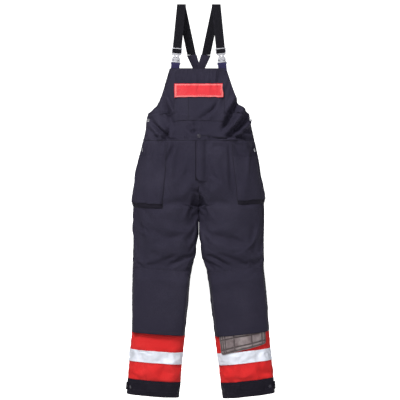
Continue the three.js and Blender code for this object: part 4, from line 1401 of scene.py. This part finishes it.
# an outline whose corners are rounded off
def rounded(points, radius, steps=5):
    points = [np.array(p, float) for p in points]
    result = []
    for index, corner in enumerate(points):
        before, after = points[index - 1], points[(index + 1) % len(points)]
        a = corner + (before - corner) / np.linalg.norm(before - corner) * min(
            radius, np.linalg.norm(before - corner) / 2.1
        )
        b = corner + (after - corner) / np.linalg.norm(after - corner) * min(
            radius, np.linalg.norm(after - corner) / 2.1
        )
        for step in range(steps + 1):
            t = step / steps
            result.append(tuple(a * (1 - t) ** 2 + corner * 2 * t * (1 - t) + b * t * t))
    return result


# a small block with chamfered long edges, in a plate's own frame
def boxExtra(low, high, place):
    x0, z0, y0 = low
    x1, z1, y1 = high
    c = min(x1 - x0, z1 - z0, y1 - y0) * 0.18
    ring = [(x0 + c, y0), (x1 - c, y0), (x1, y0 + c), (x1, y1 - c)]
    ring += [(x1 - c, y1), (x0 + c, y1), (x0, y1 - c), (x0, y0 + c)]
    points = [(x, z, y) for z in (z0, z1) for x, y in ring]
    faces = [tuple(range(8)), tuple(reversed(range(8, 16)))]
    faces += [(i, i + 8, (i + 1) % 8 + 8, (i + 1) % 8) for i in range(8)]
    return place(np.array(points, float)), faces


buckle = {
    "drop": 0.188,
    "width": 46 * mm,
    "thick": 3.4 * mm,
    "adjuster": 27 * mm,
    "bar": 4 * mm,
    "neck": 16 * mm,
    "prong": 5 * mm,
    "prongSpread": 22 * mm,
    "prongLength": 15 * mm,
    "socketWidth": 40 * mm,
    "socketThick": 8.6 * mm,
    "socket": 19.5 * mm,
    "skirt": 7.2 * mm,
}


def addBuckle(side):
    top, across, back, up = runFrame(side)

    # a plate's own x, z and y are across the strap, up the strap and towards the wearer
    def place(flat):
        return top + across * flat[:, :1] + up * flat[:, 1:2] + back * flat[:, 2:3]

    half = buckle["width"] / 2
    head = -buckle["drop"]
    foot = head - buckle["adjuster"]
    bar = buckle["bar"]
    slot = (buckle["adjuster"] - 3 * bar) / 2
    neckFoot = foot - buckle["neck"]
    window = 19.5 * mm
    # the adjuster frame flares at its top bar and runs down into a waisted neck
    outline = rounded(
        [
            (-half, head), (half, head), (half, head - 0.007), (half - 0.002, foot + 0.002),
            (0.0165, foot - 0.001), (0.0105, foot - 0.007), (0.0150, neckFoot), (-0.0150, neckFoot),
            (-0.0105, foot - 0.007), (-0.0165, foot - 0.001), (-half + 0.002, foot + 0.002), (-half, head - 0.007),
        ],
        2.6 * mm,
    )
    loops = [outline]
    for index in range(2):
        slotTop = head - bar - index * (bar + slot)
        slotFoot = slotTop - slot
        corners = [(-window, slotTop), (-window, slotFoot), (window, slotFoot), (window, slotTop)]
        loops.append(rounded(corners, 1.6 * mm))
    # a pressed window in the neck
    loops.append(rounded([(-0.0045, foot - 0.003), (0.0, foot - 0.0115), (0.0045, foot - 0.003)], 1.2 * mm))
    extras = []
    for sign in (-1, 1):
        x = sign * buckle["prongSpread"] / 2
        wide = buckle["prong"] / 2
        low = (x - wide, neckFoot - buckle["prongLength"], -buckle["thick"] / 2)
        high = (x + wide, neckFoot + 0.0015, buckle["thick"] / 2)
        extras.append(boxExtra(low, high, place))
    body = side + "_plug"
    stands = (side + "_buckle_plug",)
    platePiece(side + "BucklePlug", loops, buckle["thick"], 0.7 * mm, place, "buckle", body, stands, extras)
    # the brace's end goes round the middle bar and is sewn to itself behind
    barMiddle = head - 1.5 * bar - slot
    stations = []
    reach = buckle["thick"] / 2 + 1.5 * mm
    for angle in range(0, 181, 20):
        turn = math.radians(angle)
        y, z = math.cos(turn), -math.sin(turn)
        centre = top + up * (barMiddle - bar / 2 + z * reach * 0.9) + back * (y * reach)
        stations.append((centre, across, back * y + up * z))
    stations.insert(0, (top + up * (barMiddle + 0.038) + back * reach, across, back))
    stations.append((top + up * (barMiddle + bar / 2 + 0.4 * mm) - back * reach, across, -back))
    for angle in (30, 60, 90):
        turn = math.radians(angle)
        y, z = -math.cos(turn), math.sin(turn)
        centre = top + up * (barMiddle + bar / 2 + z * reach * 0.7) + back * (y * reach)
        stations.append((centre, across, back * y + up * z))
    strapPiece(side + "BraceEnd", stations, 0.0375, 1.5 * mm, "webbing", body, (side + "_brace_end",))
    addSocket(side, place, neckFoot)


def addSocket(side, place, neckFoot):
    top, across, back, up = runFrame(side)
    head = neckFoot - 0.4 * mm
    shellFoot = head - buckle["socket"]
    foot = shellFoot - buckle["skirt"]
    half = buckle["socketWidth"] / 2
    outline = rounded(
        [
            (-0.0160, head), (-0.0060, head - 0.0015), (0.0060, head - 0.0015), (0.0160, head),
            (half - 0.002, head - 0.006), (half - 0.0035, shellFoot + 0.004), (half + 0.001, shellFoot),
            (half + 0.001, foot), (-half - 0.001, foot), (-half - 0.001, shellFoot),
            (-half + 0.0035, shellFoot + 0.004), (-half + 0.002, head - 0.006),
        ],
        2.2 * mm,
    )
    windows = []
    for sign in (-1, 1):
        a = (sign * 0.0135, head - 0.0055)
        b = (sign * 0.0145, head - 0.0150)
        c = (sign * 0.0050, head - 0.0150)
        windows.append(rounded([a, b, c], 1.3 * mm))
    slitTop, slitFoot = shellFoot - 0.0008, shellFoot - 0.0042
    corners = [(-0.0183, slitTop), (-0.0183, slitFoot), (0.0183, slitFoot), (0.0183, slitTop)]
    slit = rounded(corners, 1.0 * mm)
    gap = buckle["thick"] / 2 + 0.45 * mm
    wall = buckle["socketThick"] / 2 - gap

    def layer(offset):
        def shifted(flat):
            moved = np.array(flat, float)
            moved[:, 2] += offset
            return place(moved)

        return shifted

    front = layer(-(gap + wall / 2))
    rear = layer(gap + wall / 2)
    loops = [outline] + windows + [slit]
    extras = []
    for sign in (-1, 1):
        low = (sign * (half - 0.0045) - 0.0012, shellFoot, -gap)
        high = (sign * (half - 0.0045) + 0.0012, head - 0.006, gap)
        extras.append(boxExtra(low, high, place))
    low, high = (-half + 0.004, shellFoot + 0.0002, -gap), (half - 0.004, shellFoot + 0.0022, gap)
    extras.append(boxExtra(low, high, place))
    stands = (side + "_buckle_socket",)
    name = side + "BuckleSocket"
    platePiece(name, loops, wall, 0.5 * mm, front, "buckle", "garment", stands, extras)
    platePiece(name + "Rear", [outline, slit], wall, 0.5 * mm, rear, "buckle", "garment")
    # the cloth tab goes through the slit, round the bottom bar, and is sewn into the bib's top edge
    reach = buckle["socketThick"] / 2 + 0.9 * mm
    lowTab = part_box(side + "_brace_tab")[0][2]
    sew = (lowTab - top[2]) / up[2]
    stations = [(top + up * (sew - 0.012) + back * 3.2 * mm, across, -back)]
    stations.append((top + up * (sew - 0.001) + back * 2.6 * mm, across, -back))
    stations.append((top + up * (sew + 0.006) - back * 1.2 * mm, across, -back))
    for angle in range(0, 181, 20):
        turn = math.radians(angle)
        y, z = -math.cos(turn), math.sin(turn)
        centre = top + up * (shellFoot - 0.0026 + z * 0.8 * mm) + back * (y * reach)
        if angle == 0:
            stations.append((top + up * (foot - 1 * mm) - back * reach, across, -back))
        stations.append((centre, across, back * y + up * z))
    stations.append((top + up * (foot - 1 * mm) + back * reach, across, back))
    stations.append((top + up * (sew + 0.004) + back * 3.0 * mm, across, back))
    stations.append((top + up * (sew - 0.012) + back * 4.8 * mm, across, back))
    strapPiece(side + "BraceTab", stations, 0.036, 1.3 * mm, "indigo", "garment", (side + "_brace_tab",))


def addYoke():
    wing = braces["width"] / 2 + 2 * mm
    right = [
        (braces["yokeX"] - wing, braces["yokeDrop"]), (braces["yokeX"] + wing, braces["yokeDrop"] + 0.004),
        (braces["yokeWaist"] / 2, 0.277), (braces["yokeFoot"] / 2, braces["neckDrop"]),
        (braces["yokeFoot"] / 2, braces["neckDrop"] + braces["yokeLap"]),
    ]
    left = [(-x, drop) for x, drop in reversed(right)]
    outline = rounded([(x, -drop) for x, drop in [(0, braces["yokeNotch"])] + right + left], 3 * mm)

    def place(flat):
        points = [backPlane(x, -z)[0] + backPlane(x, -z)[1] * y for x, z, y in flat]
        return np.array(points)

    platePiece("strapYoke", [outline], 3.2 * mm, 0.6 * mm, place, "navy", "garment", ("strap_yoke",))


for side in ("left", "right"):
    addBrace(side)
    addBuckle(side)
addYoke()
print("braces and buckles made")


# sets small items along lines, or gives lines a round section
def railTree(name, kind):
    tree = bpy.data.node_groups.new(name, "GeometryNodeTree")
    tree.is_modifier = True
    sockets = [("Lines", "Geometry"), ("Spacing", "Float"), ("Length", "Float"), ("Width", "Float"),
               ("Height", "Float"), ("Finish", "Material")]
    for label, socketKind in sockets:
        tree.interface.new_socket(label, in_out="INPUT", socket_type="NodeSocket" + socketKind)
    tree.interface.new_socket("Geometry", in_out="OUTPUT", socket_type="NodeSocketGeometry")

    def node(kind, settings=None, inputs=None):
        made = tree.nodes.new(kind)
        for key, value in (settings or {}).items():
            setattr(made, key, value)
        for key, value in (inputs or {}).items():
            if isinstance(value, bpy.types.NodeSocket):
                tree.links.new(value, made.inputs[key])
            else:
                made.inputs[key].default_value = value
        return made

    given = node("NodeGroupInput").outputs
    curve = node("GeometryNodeMeshToCurve", inputs={"Mesh": given["Lines"]})
    even = node("GeometryNodeResampleCurve", {"mode": "LENGTH"},
                {"Curve": curve.outputs[0], "Length": given["Spacing"]})
    if kind == "cord":
        ring = node("GeometryNodeCurvePrimitiveCircle", {"mode": "RADIUS"},
                    {"Resolution": 6, "Radius": given["Width"]})
        shaped = node("GeometryNodeCurveToMesh",
                      inputs={"Curve": even.outputs[0], "Profile Curve": ring.outputs[0], "Fill Caps": True})
        result = shaped.outputs[0]
    else:
        if kind == "stitch":
            item = node("GeometryNodeMeshUVSphere", inputs={"Segments": 6, "Rings": 4, "Radius": 0.5})
        else:
            item = node("GeometryNodeMeshCube")
        tangent = node("GeometryNodeInputTangent")
        turned = node("FunctionNodeAlignRotationToVector", {"axis": "X"}, {"Vector": tangent.outputs[0]})
        sides = {0: given["Length"], 1: given["Width"], 2: given["Height"]}
        size = node("ShaderNodeCombineXYZ", inputs=sides)
        placed = node("GeometryNodeInstanceOnPoints", inputs={
            "Points": even.outputs[0], "Instance": item.outputs[0], "Rotation": turned.outputs[0],
            "Scale": size.outputs[0]})
        result = node("GeometryNodeRealizeInstances", inputs={0: placed.outputs[0]}).outputs[0]
    finished = node("GeometryNodeSetMaterial", inputs={"Geometry": result, "Material": given["Finish"]})
    node("NodeGroupOutput", inputs={0: finished.outputs[0]})
    return tree


trees = {kind: railTree(kind + "Rail", kind) for kind in ("stitch", "cord", "tooth")}


def railPiece(name, kind, lines, values, finish, body, stands=()):
    points, edges = [], []
    for line in lines:
        first = len(points)
        points += [tuple(map(float, point)) for point in line]
        edges += [(index, index + 1) for index in range(first, len(points) - 1)]
    base = bpy.data.meshes.new(name + "Lines")
    base.from_pydata(points, edges, [])
    holder = bpy.data.objects.new(name + "Lines", base)
    modifier = holder.modifiers.new("rail", "NODES")
    modifier.node_group = trees[kind]
    settings = dict(values, Finish=look[finish])
    for item in trees[kind].interface.items_tree:
        if item.in_out == "INPUT" and item.name in settings:
            modifier[item.identifier] = settings[item.name]
    bpy.context.scene.collection.objects.link(holder)
    bpy.context.view_layer.update()
    mesh = bpy.data.meshes.new_from_object(holder.evaluated_get(bpy.context.evaluated_depsgraph_get()))
    holder.modifiers.clear()
    bpy.data.objects.remove(holder)
    piece = bpy.data.objects.new(name, mesh)
    bpy.context.scene.collection.objects.link(piece)
    mesh.polygons.foreach_set("use_smooth", [kind != "tooth"] * len(mesh.polygons))
    return finishPiece(piece, finish, body, stands)


def denser(corners, step=5 * mm):
    result = [np.array(corners[0], float)]
    for a, b in zip(corners, corners[1:]):
        a, b = np.array(a, float), np.array(b, float)
        count = max(1, int(np.linalg.norm(b - a) / step))
        result += [a + (b - a) * index / count for index in range(1, count + 1)]
    return np.array(result)


# a line through (x, drop) places on a leg's front or back
def legLine(side, corners, lift=0.3 * mm, face=-1):
    path = denser(corners)
    turns = np.array([legTurnAt(side, x, drop, face) for x, drop in path])
    high = lift(turns, path[:, 1]) if callable(lift) else lift
    return onLeg(side, turns, path[:, 1], high)[0]


def turnLine(side, turns, drops, lift=0.3 * mm, count=None):
    count = count or int(max(abs(turns[1] - turns[0]) * 60, abs(drops[1] - drops[0]) / (5 * mm))) + 2
    turn = np.linspace(turns[0], turns[1], count)
    drop = np.linspace(drops[0], drops[1], count)
    high = lift(turn, drop) if callable(lift) else lift
    return onLeg(side, turn % 2, drop, high)[0]


def bibLine(face, corners, lift=0.3 * mm):
    path = denser(corners)
    high = lift(path[:, 0], path[:, 1]) if callable(lift) else lift
    return onBib(face, path[:, 0], path[:, 1], high)[0]


# the top and arm edges of a bib panel, a little way in
def bibEdge(face, inset, lift=0.4 * mm):
    drops = frontDrops if face < 0 else backDrops
    arm = np.linspace(drops[0] + inset, shape["underarm"], 60)
    reach = bibHalf(arm, face) - inset * 1.15
    left = [(-x, drop) for x, drop in zip(reach[::-1], arm[::-1])]
    right = list(zip(reach, arm))
    return bibLine(face, left + right, lift)


# Each of these adds its lines to the dark cords of painted seam shade and to the rows of stitches beside them.
def legSeams(seams, rows):
    for side in ("left", "right"):
        seams.append(turnLine(side, (1, 1), (0.004, bandTop)))
        for turn in (0.975, 1.025):
            rows.append(turnLine(side, (turn, turn), (0.004, bandTop - 4 * mm)))
        seams.append(turnLine(side, (0.012, 0.012), (shape["rise"] + 0.02, bandTop), -0.2 * mm))
        # knee seam across the front, and the pocket's mouth
        seams.append(turnLine(side, (0.02, 0.98), (kneeSeam, kneeSeam), 0.5 * mm))
        for drop in (kneeSeam - 6 * mm, kneeSeam - 12 * mm):
            rows.append(turnLine(side, (0.02, 0.98), (drop, drop)))
        low, high = kneePocket["turns"]

        def over(turn, drop):
            return kneePocketLift(turn, drop) + 1.5 * mm

        mouth = kneePocket["foot"]
        rows.append(turnLine(side, (low + 0.02, high - 0.02), (mouth - 6 * mm, mouth - 6 * mm), over))
        rows.append(turnLine(side, (low + 0.02, high - 0.02), (mouth - 12 * mm, mouth - 12 * mm), over))
        rows.append(turnLine(side, (low + 0.02, high - 0.02), (kneeSeam + 6 * mm, kneeSeam + 6 * mm), over))
        for turn in (low + 0.016, high - 0.016):
            rows.append(turnLine(side, (turn, turn), (kneeSeam, mouth), over))
        # thigh pocket
        edge = thighPocket["edge"][side]
        pocketFoot = thighPocket["foot"][side] - thighPocket["gusset"]

        def onPocket(turn, drop, side=side):
            return thighPocketLift(side, turn, drop) + 1.4 * mm

        seams.append(legLine(side, [(x - 0.8 * mm, drop) for drop, x in edge], 0.4 * mm))
        for inset in (4 * mm, 9 * mm):
            line = [(x + inset, min(drop, pocketFoot)) for drop, x in edge]
            rows.append(legLine(side, line, onPocket))
        start = legTurnAt(side, edge[-1][1], pocketFoot)
        for up in (4 * mm, 10 * mm):
            drops = (pocketFoot - up, pocketFoot - up)
            rows.append(turnLine(side, (start + 0.01, thighPocket["backTurn"] - 0.01), drops, onPocket))
        # back yoke and centre seams
        seams.append(legLine(side, [(0.001, 0.004), (0.001, 0.262)], 0.2 * mm, 1))
        for x in (6 * mm, 12 * mm):
            rows.append(legLine(side, [(x, 0.004), (x, 0.250)], 0.3 * mm, 1))
        # bands and cuff
        drops = (bandTop + 4 * mm, silverTop - 3 * mm, silverFoot + 3 * mm, cuffTop + 5 * mm)
        for drop in drops + (cuffTop + 11 * mm, hemDrop - 7 * mm, hemDrop - 24 * mm):
            rows.append(turnLine(side, (0, 2), (drop, drop), 1.3 * mm, 160))
        for drop in (silverTop + 2.5 * mm, silverFoot - 2.5 * mm):
            rows.append(turnLine(side, (0, 2), (drop, drop), 1.2 * mm, 160))


def waistSeams(seams, rows):
    foot = bibHeight
    for face in (-1, 1):
        reach = 0.228
        seams.append(bibLine(face, [(-reach, foot - 1 * mm), (reach, foot - 1 * mm)], 0.4 * mm))
        for up in (7 * mm, 14 * mm, 20 * mm):
            start = -0.055 if face < 0 and up > 10 * mm else -reach
            rows.append(bibLine(face, [(start, foot - up), (reach, foot - up)], 0.4 * mm))
        for inset in (3 * mm, 9 * mm):
            rows.append(bibEdge(face, inset))
        seams.append(bibEdge(face, 0.6 * mm, 0.2 * mm))
    seams.append(bibLine(-1, [(0.004, foot - 22 * mm), (0.150, foot - 22 * mm)], 0.3 * mm))


def chestSeams(seams, rows):
    left, right, foot = chest["left"], chest["right"], chest["pocketFoot"]

    def onPocket(x, drop):
        return chestPocketLift(x, drop) + 1.3 * mm

    seams.append(bibLine(-1, [(left, 0.10), (left, foot), (right, foot), (right, 0.10)], 0.4 * mm))
    for inset in (3 * mm, 9 * mm):
        start, end, low = left + inset, right - inset, foot - inset
        line = [(start, 0.10), (start, low), (end, low), (end, 0.10)]
        rows.append(bibLine(-1, line, onPocket))
    seams.append(bibLine(-1, [(-0.0435, 0.110), (-0.0435, foot - 3 * mm)], onPocket))
    rows.append(bibLine(-1, [(-0.0375, 0.110), (-0.0375, foot - 3 * mm)], onPocket))


# crossed bar tacks where the fly ends, and the fly's curved row
def flySeams(seams, rows):
    tacks = (
        ((0.004, 0.108), (0.024, 0.100)),
        ((-0.030, 0.184), (0.000, 0.176)),
        ((0.000, 0.184), (-0.028, 0.200)),
    )
    for a, b in tacks:
        line = [(a[0] + (b[0] - a[0]) * t, a[1] + (b[1] - a[1]) * t) for t in np.linspace(0, 1, 9)]
        for shift in (0, 1.5 * mm):
            points = []
            for x, drop in line:
                side = "left" if x >= 0 else "right"
                points.append(legLine(side, [(abs(x), drop + shift), (abs(x), drop + shift)], 0.6 * mm)[0])
            rows.append(points)
    curve = [(0.024, 0.004), (0.026, 0.100), (0.029, 0.150), (0.026, 0.185), (0.016, 0.205), (0.003, 0.214)]
    for shift in (0, 6 * mm):
        rows.append(legLine("right", [(max(x - shift, 0.001), drop) for x, drop in curve], 0.4 * mm))
    seams.append(legLine("right", [(0.0012, 0.172), (0.0012, 0.255)], 0.3 * mm))


def patchAndYokeSeams(rows):
    patch = [(-0.101, -0.021), (-0.063, -0.021), (-0.063, -0.005), (-0.101, -0.005), (-0.101, -0.021)]
    rows.append(bibLine(-1, [(x, bibHeight + drop) for x, drop in patch], 2.6 * mm))
    # the yoke's cross rows
    for drop in (braces["neckDrop"] + 3 * mm, braces["neckDrop"] + 20 * mm):
        for way in (-1.8 * mm, 1.8 * mm):
            reach = np.linspace(-0.024, 0.024, 12)
            rows.append([backPlane(x, drop)[0] + backPlane(x, drop)[1] * way for x in reach])
    for sign in (-1, 1):
        for step in (6 * mm, 17 * mm):
            for way in (-1.8 * mm, 1.8 * mm):
                middle = sign * (braces["yokeX"] - step * 0.25)
                drop = braces["yokeDrop"] + step
                reach = np.linspace(middle - 0.015, middle + 0.015, 10)
                rows.append([backPlane(x, drop)[0] + backPlane(x, drop)[1] * way for x in reach])


def seamLines():
    seams, rows = [], []
    legSeams(seams, rows)
    waistSeams(seams, rows)
    chestSeams(seams, rows)
    flySeams(seams, rows)
    patchAndYokeSeams(rows)
    return seams, rows


stitchSize = {"Spacing": 3.1 * mm, "Length": 2.5 * mm, "Width": 0.75 * mm, "Height": 0.75 * mm}
seams, rows = seamLines()
# painted shade: thin dark cords along the seam lines stand for the shade in the seams' ditches
railPiece("sunkSeams", "cord", seams, {"Spacing": 4 * mm, "Width": 0.9 * mm}, "seamShadow", "garment")
railPiece("seamStitches", "stitch", rows, stitchSize, "navyThread", "garment")


def onFlap(x, drop):
    return flapLift(x, drop) + 1.95 * mm


flapRows = []
for inset in (3.6 * mm, 7.2 * mm):
    low, high = chest["flapEdges"][0] + inset, chest["flapEdges"][1] - inset
    start, end = chest["flapTop"] + inset, chest["flapFoot"] - inset
    corners = [(low, start), (high, start), (high, end), (low, end), (low, start)]
    flapRows.append(bibLine(-1, corners, onFlap))
railPiece("flapStitches", "stitch", flapRows, dict(stitchSize, Width=1.1 * mm), "redThread", "chest_flap")
placketRows = []
for inset in (3 * mm, 9 * mm):
    down = np.linspace(0.003, fly["placket"] - 0.012, 50)
    x = fly["placketFree"] + inset + placketCut(down)
    placketRows.append(onFly(x, down, placketOut(x, down) + 1.6 * mm))
railPiece("placketStitches", "stitch", placketRows, stitchSize, "navyThread", "fly_placket")
run = np.linspace(0.003, fly["zip"] - 0.012, 40)
teeth = [onFly(np.full(40, sign * 1.5 * mm), run, 1.5 * mm) for sign in (-1, 1)]
toothSize = {"Spacing": 2.0 * mm, "Length": 1.1 * mm, "Width": 1.4 * mm, "Height": 2.6 * mm}
railPiece("zipTeeth", "tooth", teeth, toothSize, "metal", "garment")
for node in ("zip_slider", "zip_pull"):
    piece = frame["nodes"][node]
    for place in range(len(piece.material_slots)):
        piece.material_slots[place].material = look["metal"]
print("stitching made")


# each light: its name, its place, its power in watts and its width in metres
studio = {
    "world": 0.22,
    "dome": 14.0,
    "domeGlow": 1.5,
    "floorGap": 0.02,
    "floorGlow": 0.85,
    "aim": (0, 0, -0.85),
    "lights": (
        ("keyLight", (-1.5, -3.0, 2.2), 190, 1.4),
        ("lowLight", (-0.6, -4.2, -1.3), 42, 2.0),
        ("fillLight", (2.6, -4.2, 0.4), 46, 2.4),
        ("backLight", (0.8, 3.4, 1.2), 150, 2.4),
    ),
}


def addStage():
    floorZ = cadBox[0][2] - studio["floorGap"]
    bpy.ops.mesh.primitive_plane_add(size=2 * studio["dome"], location=(0, 0, floorZ))
    floor = bpy.context.object
    floor.name = "studioFloor"
    paint = Paint("paleFloor")
    paint.set(Base_Color=(0.9, 0.9, 0.9, 1), Roughness=0.9)
    paint.set(Emission_Color=(1, 1, 1, 1), Emission_Strength=studio["floorGlow"])
    floor.data.materials.append(paint.material)
    # a white surround that is seen but throws no light
    centre = (0, 0, floorZ)
    bpy.ops.mesh.primitive_uv_sphere_add(segments=48, ring_count=24, radius=studio["dome"], location=centre)
    dome = bpy.context.object
    dome.name = "studioSurround"
    white = Paint("whiteSurround")
    white.set(Base_Color=(0, 0, 0, 1), Emission_Color=(1, 1, 1, 1), Emission_Strength=studio["domeGlow"])
    dome.data.materials.append(white.material)
    dome.visible_diffuse = dome.visible_glossy = dome.visible_transmission = dome.visible_shadow = False
    floor.visible_diffuse = False
    world = bpy.data.worlds.new("studio")
    bpy.context.scene.world = world
    world.use_nodes = True
    world.node_tree.nodes["Background"].inputs[0].default_value = (1, 1, 1, 1)
    world.node_tree.nodes["Background"].inputs[1].default_value = studio["world"]
    for name, place, power, size in studio["lights"]:
        light = bpy.data.lights.new(name, "AREA")
        light.energy = power
        light.size = size
        lamp = bpy.data.objects.new(name, light)
        lamp.location = place
        aim = Vector(studio["aim"]) - Vector(place)
        lamp.rotation_euler = aim.to_track_quat("-Z", "Y").to_euler()
        bpy.context.scene.collection.objects.link(lamp)


shot = {"distance": 6.0, "width": 1.70, "sensor": 36, "x": 0.005, "z": -0.8315}


def addCamera():
    camera = bpy.data.cameras.new("camera")
    camera.sensor_width = shot["sensor"]
    camera.lens = shot["sensor"] * shot["distance"] / shot["width"]
    holder = bpy.data.objects.new("camera", camera)
    holder.location = (shot["x"], -shot["distance"], shot["z"])
    holder.rotation_euler = (math.pi / 2, 0, 0)
    bpy.context.scene.collection.objects.link(holder)
    bpy.context.scene.camera = holder


addStage()
addCamera()
bpy.context.scene.view_settings.view_transform = "Standard"
bpy.context.view_layer.update()
